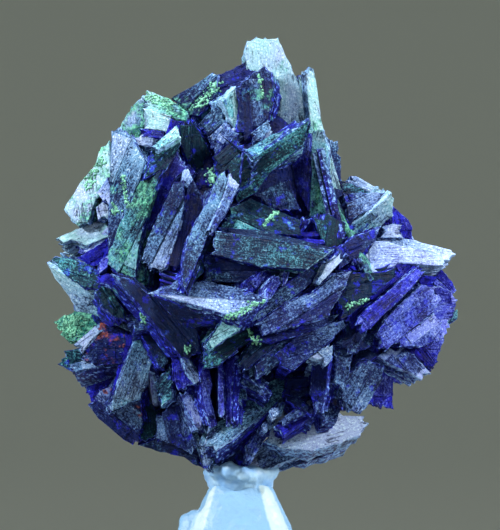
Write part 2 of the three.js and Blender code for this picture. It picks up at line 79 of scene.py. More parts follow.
class Wire:
    """A socket of a finish, on which plain sums can be written."""

    def __init__(self, tree, socket):
        self.tree = tree
        self.socket = socket

    def sum(self, how, other, swapped=False):
        a, b = (other, self) if swapped else (self, other)
        return node(self.tree, "Math", {"operation": how}, {0: a, 1: b})

    def __add__(self, other):
        return self.sum("ADD", other)

    def __radd__(self, other):
        return self.sum("ADD", other, True)

    def __sub__(self, other):
        return self.sum("SUBTRACT", other)

    def __rsub__(self, other):
        return self.sum("SUBTRACT", other, True)

    def __mul__(self, other):
        return self.sum("MULTIPLY", other)

    def __rmul__(self, other):
        return self.sum("MULTIPLY", other, True)

    def above(self, low, high):
        """0 below low, 1 above high and a smooth step between them."""
        return node(self.tree, "MapRange", {"interpolation_type": "SMOOTHSTEP"},
                    {"Value": self, "From Min": low, "From Max": high})

    def least(self, other):
        return self.sum("MINIMUM", other)

    def unsigned(self):
        return self.sum("ABSOLUTE", 0)


def node(tree, kind, settings, sockets, out=0):
    """Adds a node, with its settings first and its sockets' values or wires after them."""
    made = tree.nodes.new("ShaderNode" + kind)
    for name, value in settings.items():
        setattr(made, name, value)
    for name, value in sockets.items():
        place = made.inputs[name]
        if isinstance(value, Wire):
            tree.links.new(value.socket, place)
        else:
            place.default_value = value
    return Wire(tree, made.outputs[out])


def blend(tree, share, low, high):
    """The colour low where share is 0, and high where it is 1. The numbers are the sockets of a
    mix of colours, whose names it has more than once."""
    low, high = [c if isinstance(c, Wire) else (*c, 1) for c in (low, high)]
    return node(tree, "Mix", {"data_type": "RGBA"}, {0: share, 6: low, 7: high}, 2)


def grain(tree, place, scale, detail=4, rough=0.6, stretch=None):
    """An even, cloudy pattern, scale patches to a metre, from 0 to 1."""
    if stretch:
        place = node(tree, "Mapping", {}, {"Vector": place, "Scale": stretch})
    return node(tree, "TexNoise", {"normalize": True},
                {"Vector": place, "Scale": scale, "Detail": detail, "Roughness": rough})


def finish(name, **fixed):
    """A material whose fixed numbers are set on its shader."""
    made = bpy.data.materials.new(name)
    made.use_nodes = True
    shader = made.node_tree.nodes["Principled BSDF"]
    for socket, value in fixed.items():
        shader.inputs[socket.replace("_", " ")].default_value = value
    return made, made.node_tree, shader


def feed(tree, shader, **wires):
    """Joins wires to the shader's sockets."""
    for socket, wire in wires.items():
        tree.links.new(wire.socket, shader.inputs[socket.replace("_", " ")])


def relief(tree, height, distance):
    """A fine roughness whose full height is a distance in metres."""
    return node(tree, "Bump", {}, {"Height": height, "Distance": distance, "Strength": 1.0})


def object_place(tree):
    return node(tree, "TexCoord", {}, {}, "Object")


def edit(mode="EDIT"):
    """Goes into edit mode, or with OBJECT out of it."""
    bpy.ops.object.mode_set(mode=mode)


def clear():
    """Leaves nothing selected."""
    if bpy.context.object and bpy.context.object.mode != "OBJECT":
        edit("OBJECT")
    bpy.ops.object.select_all(action="DESELECT")


def settle(piece, name):
    """Puts the piece's place into its mesh and gives it its name."""
    bpy.ops.object.transform_apply(location=True, rotation=True, scale=True)
    piece.name = piece.data.name = name
    return piece


def apply(piece, kind, **settings):
    """Adds a modifier with its settings and applies it."""
    made = piece.modifiers.new(kind.lower(), kind)
    for name, value in settings.items():
        setattr(made, name, value)
    bpy.ops.object.modifier_apply(modifier=made.name)


def weather(piece, dents, lowest=-math.inf):
    """Moves the points of a piece above lowest in and out by cloudy amounts."""
    for scale, depth, seed in dents:
        shift = Vector((seed, 2 * seed, 3 * seed))
        moved = []
        for point in piece.data.vertices:
            place = point.co.copy()
            if place.z > lowest * MM:
                swell = noise.fractal(place * scale + shift, 0.6, 2.0, 3)
                place += point.normal * (depth * MM) * max(-1, min(1, swell))
            moved.extend(place)
        piece.data.vertices.foreach_set("co", moved)


def lump(name, centre, radius, scale=(1, 1, 1), segments=20, rings=12):
    """A ball of putty that is joined to others."""
    clear()
    bpy.ops.mesh.primitive_uv_sphere_add(segments=segments, ring_count=rings, radius=radius * MM,
                                         location=[v * MM for v in centre], scale=scale)
    return settle(bpy.context.object, name)


def join(pieces):
    """Makes several pieces one, which is the first of them."""
    clear()
    for piece in pieces:
        piece.select_set(True)
    bpy.context.view_layer.objects.active = pieces[0]
    bpy.ops.object.join()


def press(piece, dents, voxel, factor, rounds, lowest=-math.inf):
    """Melts the lumps of a piece into one skin, smooths it and dents it."""
    apply(piece, "REMESH", mode="VOXEL", voxel_size=voxel * MM)
    apply(piece, "SMOOTH", factor=factor, iterations=rounds)
    weather(piece, dents, lowest)
    bpy.ops.object.shade_smooth()


clear()
bpy.ops.mesh.primitive_cube_add(size=STAND_FOOT * MM, location=(0, 0, STAND_FOOT * MM / 2))
stand = settle(bpy.context.object, "tack_block")
edit()
bpy.ops.mesh.select_all(action="DESELECT")
bpy.ops.mesh.select_mode(type="EDGE")
edit("OBJECT")
for edge in stand.data.edges:
    a, b = [stand.data.vertices[v].co for v in edge.vertices]
    edge.select = abs(a.z - b.z) > MM
edit()
bpy.ops.mesh.bevel(offset=STAND_FOOT * STAND_CHAMFER * MM, segments=1, affect="EDGES")
edit("OBJECT")
for point in stand.data.vertices:
    up = point.co.z / (STAND_FOOT * MM)
    wide = 1 + (STAND_TOP / STAND_FOOT - 1) * up
    point.co.x *= wide
    point.co.y = point.co.y * wide - STAND_LEAN * MM * up
    point.co.z *= STAND_HEIGHT / STAND_FOOT
edit()
bpy.ops.mesh.select_all(action="SELECT")
bpy.ops.mesh.bevel(offset=STAND_ROUNDING * MM, segments=2, affect="EDGES")
bpy.ops.mesh.select_all(action="SELECT")
bpy.ops.mesh.quads_convert_to_tris()
bpy.ops.mesh.subdivide(number_cuts=3)
bpy.ops.mesh.tris_convert_to_quads()
edit("OBJECT")
join([stand, *[lump("lump", centre, radius) for centre, radius in STAND_LUMPS]])
press(stand, STAND_DENTS, voxel=0.4, factor=0.6, rounds=3, lowest=FLAT_FOOT)
putty, tree, shader = finish("pale_blue_putty", Specular_IOR_Level=0.4)
place = object_place(tree)
cloud = grain(tree, place, 110, 3)
fine = grain(tree, place, 900, 3)
x, y, z = [node(tree, "SeparateXYZ", {}, {0: place}, axis) for axis in "XYZ"]
half = 0.5 * MM * STAND_FOOT - 0.5 * (STAND_FOOT - STAND_TOP) / STAND_HEIGHT * z
aside = (x + 0.5 * MM).unsigned()
ahead = (y + STAND_LEAN / STAND_HEIGHT * z).unsigned()
past = aside.least(ahead) - FACE_SHARE * half + 0.4 * MM * (fine - 0.5)
square = 1 - past.above(-0.2 * MM, 0.2 * MM)
# Chamfers paler than the face: partly the putty's colour, partly painted highlight.
feed(tree, shader,
     Base_Color=blend(tree, square, CHAMFER_BLUE_AND_HIGHLIGHT, FACE_BLUE),
     Roughness=0.35 + 0.3 * fine,
     Normal=relief(tree, fine + 2 * cloud, 0.00025))
stand.data.materials.append(putty)
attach(stand, "root")
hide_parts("stand")


# The tack: a squeezed lump of the same putty between the block and the foot of the cluster, with
# folded lips that grip the crystals and collars that spread on the block's top.
TACK_MIDDLE = (0, -STAND_LEAN - 0.6, 23.6)
TACK_HALF = (4.8, 5.5, 2.1)
COLLARS = (((-0.2, -STAND_LEAN - 0.2, 22.4), (4.6, 5.0, 1.6)),
           ((-0.2, -STAND_LEAN - 0.1, 21.7), (4.6, 4.8, 1.3)))
LIPS = (((4.4, -3.2, 24.1), 1.1), ((-2.0, -5.6, 24.4), 1.5), ((2.2, -5.4, 23.7), 1.2),
        ((-4.2, -3.0, 23.8), 1.2), ((0.2, -6.2, 23.8), 1.0), ((3.6, 1.6, 24.0), 1.4),
        ((-3.6, 1.8, 24.0), 1.3), ((0.2, 3.0, 24.0), 1.4), ((-1.8, -7.4, 24.3), 1.4),
        ((0.4, -7.4, 23.8), 1.1), ((-3.7, -6.0, 24.0), 1.1))
TACK_DENTS = ((330, 0.35, 5), (1200, 0.1, 6))
FOLD_BLUE = (0.11, 0.24, 0.44)
PRESSED_BLUE = (0.21, 0.34, 0.46)
tack = lump("pressed_tack", TACK_MIDDLE, 1, scale=TACK_HALF, segments=48, rings=24)
lips = [lump("lip", centre, radius) for centre, radius in LIPS]
collars = [lump("collar", centre, 1, scale=size, segments=48, rings=24)
           for centre, size in COLLARS]
join([tack, *lips, *collars])
press(tack, TACK_DENTS, voxel=0.3, factor=0.7, rounds=12)
kneaded, tree, shader = finish("kneaded_tack", Specular_IOR_Level=0.35)
place = object_place(tree)
cloud = grain(tree, place, 220, 3)
feed(tree, shader,
     Base_Color=blend(tree, cloud.above(0.35, 0.65), FOLD_BLUE, PRESSED_BLUE),
     Roughness=0.35 + 0.25 * grain(tree, place, 1200),
     Normal=relief(tree, grain(tree, place, 700), 0.0002))
tack.data.materials.append(kneaded)
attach(tack, "root")
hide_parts("mineral_tack")


# The heart of the cluster: the rough, dark blue mass where the crystals are rooted. It fills most
# of the rosette's form, a skyline seen from the front and an ellipse seen from above. Its finish
# is like the crystals' and comes after them.
MIDDLE = (2, 54)
CLUSTER_DEPTH = 43
CORE_SIDE, CORE_FRONT, CORE_BACK = 0.78, 0.64, 0.76
CORE_DENTS = ((700, 0.5, 4), (2500, 0.18, 9))
SKYLINE = (
    (-26, 39.2), (-21.9, 34.5), (-20, 31.8), (-14.8, 27.5), (-8.5, 25.7), (-4, 24), (5, 24),
    (14, 27), (18, 31), (21.7, 32.8), (22.3, 36.3), (27.6, 38.8), (29.9, 45.2), (31.2, 47),
    (30, 55), (24.3, 59.6), (21.9, 62.5), (15.3, 65.8), (13.9, 71), (10.4, 81), (5.3, 85.6),
    (1, 85.2), (-4, 80.6), (-13.5, 78), (-17.2, 72.6), (-21.6, 67), (-25, 61.5), (-26.2, 57),
    (-27.6, 53.6), (-26.6, 45.2),
)


def reach(dx, dz):
    """How far the skyline lies from the middle in a direction seen from the front."""
    far = 0
    for (ax, az), (bx, bz) in zip(SKYLINE, SKYLINE[1:] + SKYLINE[:1]):
        ex, ez = bx - ax, bz - az
        cross = dx * ez - dz * ex
        if abs(cross) < 1e-9:
            continue
        along = ((ax - MIDDLE[0]) * ez - (az - MIDDLE[1]) * ex) / cross
        share = ((ax - MIDDLE[0]) * dz - (az - MIDDLE[1]) * dx) / cross
        if along > 0 and 0 <= share <= 1:
            far = max(far, along)
    return far


def on_form(out, side_share, depth_share=None):
    """The point of the form in a direction, at a share of its reach."""
    depth_share = side_share if depth_share is None else depth_share
    flat = math.hypot(out.x, out.z)
    side = reach(out.x / flat, out.z / flat) if flat > 1e-6 else 0
    return Vector((MIDDLE[0] + out.x * side * side_share,
                   out.y * depth_share * CLUSTER_DEPTH / 2,
                   MIDDLE[1] + out.z * side * side_share))


def core_depth(x, z):
    """How far the heart reaches towards the viewer at a place seen from the front."""
    away = math.hypot(x - MIDDLE[0], z - MIDDLE[1])
    if away < 1e-6:
        return CORE_FRONT * CLUSTER_DEPTH / 2
    share = away / reach((x - MIDDLE[0]) / away, (z - MIDDLE[1]) / away) / CORE_SIDE
    return CORE_FRONT * CLUSTER_DEPTH / 2 * math.sqrt(1 - share * share) if share < 1 else 0


clear()
bpy.ops.mesh.primitive_ico_sphere_add(subdivisions=5, radius=1)
heart = settle(bpy.context.object, "rough_heart")
for point in heart.data.vertices:
    out = point.co.normalized()
    rough = 0.95 + 0.06 * noise.noise(out * 6)
    front = CORE_FRONT if out.y < 0 else CORE_BACK
    point.co = on_form(out, CORE_SIDE * rough, front * rough) * MM
weather(heart, CORE_DENTS)
bpy.ops.object.shade_flat()


# The crystals: tabular azurite plates, each a book of thin growth layers with stepped strips on
# its face. A leaf is one layer: a flat outline, its thickness, its run along the crystal and its
# look: how frosty, how teal rather than violet, how green and how rusty it is, out of 100. The
# frost is partly the crystals' own pale, finely crystalline skin and partly painted sheen: its
# pale colour stands in for the lamps' light on faces turned to them, and its lack for shade.
CHIP_STEP = 0.6
CHIP_BITE = 0.3
RIM = 0.07
RUN_SCALE = 0.01
COVER_INSET = 0.35
NARROWEST_STRIP = 0.45
STRIP_ENDS = 1.6
STRIP_CHIPS = (0.8, 0.12)
# The plates behind a crystal's face take less frost, as painted shade between the layers; strips
# and slivers vary at random.
STRIP_TONE, BACK_SHADE_TONE, SLIVER_TONE = (-14, 14), (-25, -5), (-15, 15)
SLIVER_CHIPS = (0.8, 0.1)
SLIVER_WIDTH = (0.5, 1.1)
SLIVER_THICKNESS = (0.25, 0.5)
SLIVER_PROUD = (-0.25, 0.22)
SLIVER_SINK = (0.1, 1.6)
DEEP_BLUE, DEEP_TEAL = (0.001, 0.005, 0.042), (0.0005, 0.011, 0.024)
DEEP_VIOLET = (0.002, 0.002, 0.11)
PALE_BLUE, PALE_TEAL, PALE_VIOLET = (0.085, 0.175, 0.37), (0.055, 0.26, 0.31), (0.075, 0.10, 0.54)
# Frost colours: partly the frosted skin's own pale blue, partly painted sheen of the lamps.
FROST_SHEEN_BLUE, FROST_SHEEN_TEAL, FROST_SHEEN_VIOLET = (0.22, 0.29, 0.48), (0.18, 0.35, 0.39), (0.17, 0.20, 0.70)
# The pale rim colour is a painted highlight; the deep and vivid blues are the rims' own colour.
RIM_DEEP, RIM_BLUE, RIM_HIGHLIGHT = (0.002, 0.002, 0.085), (0.020, 0.030, 0.70), (0.18, 0.34, 0.60)
VEIN_BLUE = (0.007, 0.009, 0.30)
# A near white painted into glinting spots.
PAINTED_GLINT_WHITE = (0.37, 0.50, 0.61)
FILM_DARK, FILM_GREEN = (0.005, 0.075, 0.06), (0.11, 0.36, 0.25)
IRON_STAIN = (0.17, 0.045, 0.03)
# The near black painted into pits and splits as their shade.
PIT_SHADE_BLUE = (0.001, 0.002, 0.022)
LOOK_WORDS = ("frost_and_sheen", "teal", "malachite", "rust", "rim")
draw = random.Random(7)


class Leaf:
    """One layer of a crystal, its points placed in space, in millimetres."""

    def __init__(self, points, thickness, runs, look):
        self.points = points
        self.thickness = thickness
        self.runs = runs
        self.look = look


def area(flat):
    """The area inside a flat outline, below 0 where it runs clockwise."""
    return 0.5 * sum(a.x * b.y - b.x * a.y for a, b in zip(flat, flat[1:] + flat[:1]))


def cut(flat, normal, limit):
    """The part of a flat outline short of a straight line."""
    kept = []
    for a, b in zip(flat, flat[1:] + flat[:1]):
        over_a, over_b = a.dot(normal) - limit, b.dot(normal) - limit
        if over_a <= 0:
            kept.append(a)
        if over_a * over_b < 0:
            kept.append(a.lerp(b, over_a / (over_a - over_b)))
    return kept


def chipped(flat, step=CHIP_STEP, bite=CHIP_BITE, along=None):
    """The outline with its edges broken into short, uneven steps that stay inside it, and with
    torn ends where the crystal's run is given."""
    centre = sum(flat, Vector((0, 0))) / len(flat)
    rough = []
    for a, b in zip(flat, flat[1:] + flat[:1]):
        way = b - a
        torn = along is not None and abs(way.normalized().dot(along)) < 0.6
        pieces = max(1, round(way.length / (step * (0.7 if torn else 1))))
        for k in range(pieces):
            point = a.lerp(b, (k + (draw.uniform(-0.25, 0.25) if k else 0)) / pieces)
            inward = centre - point
            if k and inward.length > 4 * bite:
                depth = draw.uniform(0, 2.6 if torn else 1) * bite
                point = point + inward.normalized() * depth
            rough.append(point)
    return rough


def shrunk(flat, share, wander=0.0):
    """The outline drawn in towards its centre, and moved by chance up to wander."""
    centre = sum(flat, Vector((0, 0))) / len(flat)
    shift = Vector((draw.uniform(-wander, wander), draw.uniform(-wander, wander)))
    return [centre + shift + (point - centre) * share for point in flat]


def longest(flat):
    """The direction of the outline's longest edge."""
    edges = [b - a for a, b in zip(flat, flat[1:] + flat[:1])]
    return max(edges, key=lambda e: e.length).normalized()


def strips(flat, along, width):
    """The outline cut into strips along the crystal, each with an uneven end."""
    side = Vector((-along.y, along.x))
    low = min(point.dot(side) for point in flat)
    high = max(point.dot(side) for point in flat)
    count = max(1, round((high - low) / width))
    marks = [low] + [low + (high - low) * (k + draw.uniform(-0.3, 0.3)) / count
                     for k in range(1, count)] + [high]
    made = []
    for a, b in zip(marks, marks[1:]):
        if b - a < NARROWEST_STRIP:
            continue
        strip = cut(cut(flat, side, b), -side, -a)
        if len(strip) < 3:
            continue
        first = min(point.dot(along) for point in strip)
        last = max(point.dot(along) for point in strip)
        strip = cut(strip, along, last - draw.uniform(0, STRIP_ENDS) ** 1.5)
        if len(strip) > 2:
            strip = cut(strip, -along, -(first + draw.uniform(0, STRIP_ENDS) ** 1.5))
        if len(strip) > 2 and abs(area(strip)) > 0.5:
            made.append(strip)
    return made


def book(flat, seat, thickness, look, outer, width, step, backs, slivers):
    """One crystal: stepped strips, the plate under them, thinner plates behind it, and slivers
    along its edges."""
    along = longest(flat)
    side = Vector((-along.y, along.x))
    ends = [point.dot(along) for point in flat]
    root, tip = min(ends), max(ends)
    if along.dot(outer) < 0:
        root, tip = tip, root
    made = []
    page = draw.uniform(0, 50)

    def leaf(outline, height, thick, tone=0, rim=100, tilt=(0, 0)):
        """Adds a layer at a height over the face, tilted along and across the crystal."""
        runs = [(point.dot(along) + page, point.dot(side) + page,
                 (point.dot(along) - root) / (tip - root)) for point in outline]
        centre = sum(outline, Vector((0, 0))) / len(outline)
        points = [seat(point, height + (point - centre).dot(along) * tilt[0]
                       + (point - centre).dot(side) * tilt[1]) for point in outline]
        if area(outline) * (-1 if seat.mirrored else 1) < 0:
            points.reverse()
            runs.reverse()
        made.append(Leaf(points, thick, runs, (look[0] + tone,) + tuple(look[1:]) + (rim,)))

    leaf(chipped(flat, along=along), -step, max(0.3, thickness - step))
    cover = shrunk(flat, 1 - COVER_INSET / max(3, math.sqrt(abs(area(flat)))))
    for strip in strips(cover, along, width):
        leaf(chipped(strip, *STRIP_CHIPS), draw.uniform(-step * 0.7, step * 0.2), step * 1.2,
             draw.uniform(*STRIP_TONE), 12,
             (draw.uniform(-0.012, 0.012), draw.uniform(-0.1, 0.1) / max(1, width - 1)))
    for height, thick, share, shift in backs:
        page_behind = [point + shift for point in shrunk(flat, share, 0.2)]
        # Painted shade: the plates behind the face are darker.
        leaf(chipped(page_behind, along=along), height, thick, draw.uniform(*BACK_SHADE_TONE))
    edges = sorted(zip(flat, flat[1:] + flat[:1]), key=lambda e: (e[0] - e[1]).length)[-3:]
    outward = 1 if area(flat) > 0 else -1
    for k in range(slivers):
        a, b = edges[k % len(edges)]
        way = (b - a).normalized()
        out = Vector((way.y, -way.x)) * outward
        first = draw.uniform(0.0, 0.6)
        last = min(1, first + draw.uniform(0.2, 0.55))
        wide = draw.uniform(*SLIVER_WIDTH)
        proud = draw.uniform(*SLIVER_PROUD)
        start, end = a.lerp(b, first) + out * proud, a.lerp(b, last) + out * (proud - 0.1)
        sliver = [start, end, end - out * wide * draw.uniform(0.4, 1), start - out * wide]
        if outward < 0:
            sliver.reverse()
        leaf(chipped(sliver, *SLIVER_CHIPS), -step - draw.uniform(*SLIVER_SINK),
             draw.uniform(*SLIVER_THICKNESS), draw.uniform(*SLIVER_TONE), 100,
             (draw.uniform(-0.04, 0.04), draw.uniform(-0.1, 0.1)))
    return made


class Seat:
    """Puts a point of a flat outline in space, at a height over the crystal's face."""

    def __init__(self, origin, across, up, normal):
        self.origin = origin
        self.across = across
        self.up = up
        self.normal = normal
        self.mirrored = across.cross(up).dot(normal) < 0

    def __call__(self, point, height):
        return self.origin + self.across * point.x + self.up * point.y + self.normal * height


def grow(name, leaves):
    """Makes one mesh of leaves: each outline gets its thickness and a sloping rim, and no torn
    end passes the model's box."""
    clear()
    points, faces = [], []
    for leaf in leaves:
        faces.append(range(len(points), len(points) + len(leaf.points)))
        points += [point * MM for point in leaf.points]
    mesh = bpy.data.meshes.new(name)
    mesh.from_pydata(points, [], [list(face) for face in faces])
    piece = bpy.data.objects.new(name, mesh)
    bpy.context.collection.objects.link(piece)
    piece.select_set(True)
    bpy.context.view_layer.objects.active = piece
    run = mesh.uv_layers.new(name="run")
    ends = mesh.uv_layers.new(name="ends")
    corner = 0
    for leaf in leaves:
        for u, v, share in leaf.runs:
            run.data[corner].uv = (u * RUN_SCALE, v * RUN_SCALE)
            ends.data[corner].uv = (share, share)
            corner += 1
    for k, word in enumerate(LOOK_WORDS):
        amount = mesh.attributes.new(word, "FLOAT", "FACE")
        amount.data.foreach_set("value", [leaf.look[k] / 100 for leaf in leaves])
    shade = mesh.attributes.new("page", "FLOAT", "FACE")
    shade.data.foreach_set("value", [draw.random() for leaf in leaves])
    thickest = max(leaf.thickness for leaf in leaves)
    body = piece.vertex_groups.new(name="thickness")
    for leaf, face in zip(leaves, faces):
        body.add(list(face), leaf.thickness / thickest, "REPLACE")
    mesh.materials.append(crystal_face)
    mesh.materials.append(crystal_rim)
    apply(piece, "SOLIDIFY", thickness=thickest * MM, offset=-1, vertex_group="thickness",
          use_rim=True, material_offset_rim=1)
    mesh = piece.data
    edit()
    bpy.ops.mesh.select_mode(type="FACE")
    bpy.ops.mesh.select_all(action="DESELECT")
    edit("OBJECT")
    for face in mesh.polygons:
        face.select = face.material_index == 0
    edit()
    bpy.ops.mesh.inset(thickness=RIM * MM, depth=0.6 * RIM * MM, use_individual=True)
    edit("OBJECT")
    for face in mesh.polygons:
        if not face.select:
            face.material_index = 1
    low, high = [Vector(corner) for corner in cad_box]
    for point in mesh.vertices:
        point.co = [min(max(c, a), b) for c, a, b in zip(point.co, low, high)]
    bpy.ops.object.shade_flat()
    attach(piece, "root")
    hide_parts("azurite_cluster")
    return piece


def attribute(tree, name):
    return node(tree, "Attribute", {"attribute_name": name}, {}, "Fac")


def crystal_finish(name, edge):
    """Azurite: a frosty, finely pitted skin over a deep blue body, bluer along the rims, with
    thin films of malachite and iron stain. Painted light on it: the frost's pale sheen, highlights
    on the rims and white glints; painted shade: dark pits and splits, and darker crystal roots."""
    made, tree, shader = finish(name, Specular_IOR_Level=0.08, Coat_Roughness=0.3)
    place = object_place(tree)
    run = node(tree, "UVMap", {"uv_map": "run"}, {})
    page = attribute(tree, "page")
    ends = node(tree, "UVMap", {"uv_map": "ends"}, {})
    outward = node(tree, "SeparateXYZ", {}, {0: ends}, "X")
    # Painted shade: frost falls towards each crystal's root, deep in the cluster, and rises
    # towards its tip; the page share varies it at random from leaf to leaf.
    frost_and_sheen = attribute(tree, "frost_and_sheen") + 0.34 * (page - 0.5) + 0.3 * (outward - 0.5)
    teal = attribute(tree, "teal")
    cloud = grain(tree, place, 240, 3)
    drift = grain(tree, place, 120, 2)
    pits = (0.72 * grain(tree, place, 3300, 4, 0.8)
            + 0.28 * grain(tree, run, 40, 3, 0.7, (3.5, 14, 1)))
    lines = grain(tree, run, 22, 4, 0.65, (0.8, 9, 1))
    cool = (teal + 0.7 * (drift - 0.5)).above(-0.1, 0.55)
    warm = (0 - teal - 0.7 * (drift - 0.5)).above(0.05, 0.9)
    deep = blend(tree, warm, blend(tree, cool, DEEP_BLUE, DEEP_TEAL), DEEP_VIOLET)
    vein = grain(tree, place, 520, 4, 0.7)
    deep = blend(tree, (vein + 0.10 * warm).above(0.56, 0.66) * 0.8, deep, VEIN_BLUE)
    pale = blend(tree, warm, blend(tree, cool, PALE_BLUE, PALE_TEAL), PALE_VIOLET)
    hint = (cool + 1.4 * (grain(tree, place, 190, 2) - 0.5)).above(0.2, 0.7)
    white = blend(tree, warm, blend(tree, hint, FROST_SHEEN_BLUE, FROST_SHEEN_TEAL), FROST_SHEEN_VIOLET)
    # Painted sheen: frosty faces are painted pale, standing in for lamplight on the frosted skin.
    pale = blend(tree, frost_and_sheen.above(0.45, 0.95), pale, white)
    cover = (frost_and_sheen + 1.1 * (cloud - 0.5) + 0.6 * (lines - 0.5)).above(-0.22, 1.1)
    speck = (pits + 0.24 * (cover - 0.5)).above(0.455, 0.545)
    shine = speck * (0.16 + 0.84 * cover)
    colour = blend(tree, shine, deep, pale)
    # Painted glints: tiny spots on frosty faces are painted near white, and their clear coat gives
    # real glints too.
    glint = (pits + 0.12 * cover).above(0.63, 0.70) * (0.1 + 0.8 * cover)
    colour = blend(tree, glint, colour, PAINTED_GLINT_WHITE)
    if edge:
        bright = grain(tree, place, 1600, 4, 0.7)
        blue = blend(tree, bright.above(0.47, 0.66), RIM_DEEP, RIM_BLUE)
        # Painted highlight: pale streaks along the rims, more on frosty crystals, where the edges
        # catch the lamps.
        blue = blend(tree, (bright + 0.2 * frost_and_sheen).above(0.58, 0.69), blue, RIM_HIGHLIGHT)
        colour = blend(tree, attribute(tree, "rim") * (1 - 0.4 * frost_and_sheen) * 0.92, colour, blue)
    patch = grain(tree, place, 260, 5, 0.7)
    green = (patch + 0.45 * attribute(tree, "malachite")).above(0.66, 0.82)
    film = blend(tree, grain(tree, place, 1500, 4).above(0.36, 0.62), FILM_DARK, FILM_GREEN)
    colour = blend(tree, green * pits.above(0.40, 0.50), colour, film)
    rusty = (grain(tree, place, 380, 5, 0.7) + 0.45 * attribute(tree, "rust")).above(0.80, 0.90)
    colour = blend(tree, rusty * pits.above(0.4, 0.5), colour, IRON_STAIN)
    # Painted shade in the tiny pits and in the fine splits along each crystal's run.
    clear_of_pit_shade = (grain(tree, place, 1900, 4, 0.75) + 0.08 * cover).above(0.36, 0.46)
    split_shade_line = grain(tree, run, 9, 3, 0.6, (0.9, 9, 1)) - 0.5
    clear_of_split_shade = (split_shade_line * split_shade_line + 0.006 * (cloud - 0.42)).above(0.00005, 0.0006)
    colour = blend(tree, 0.12 + 0.88 * clear_of_pit_shade * (0.3 + 0.7 * clear_of_split_shade), PIT_SHADE_BLUE, colour)
    height = 0.6 * pits + 0.8 * lines + 0.4 * cloud + 0.5 * clear_of_pit_shade + 0.5 * clear_of_split_shade
    feed(tree, shader, Base_Color=colour,
         Roughness=0.42 + 0.3 * shine + 0.2 * green, Coat_Weight=0.35 * glint,
         Normal=relief(tree, height, 0.0005))
    return made


crystal_face = crystal_finish("azurite_faces", edge=False)
crystal_rim = crystal_finish("azurite_rims", edge=True)
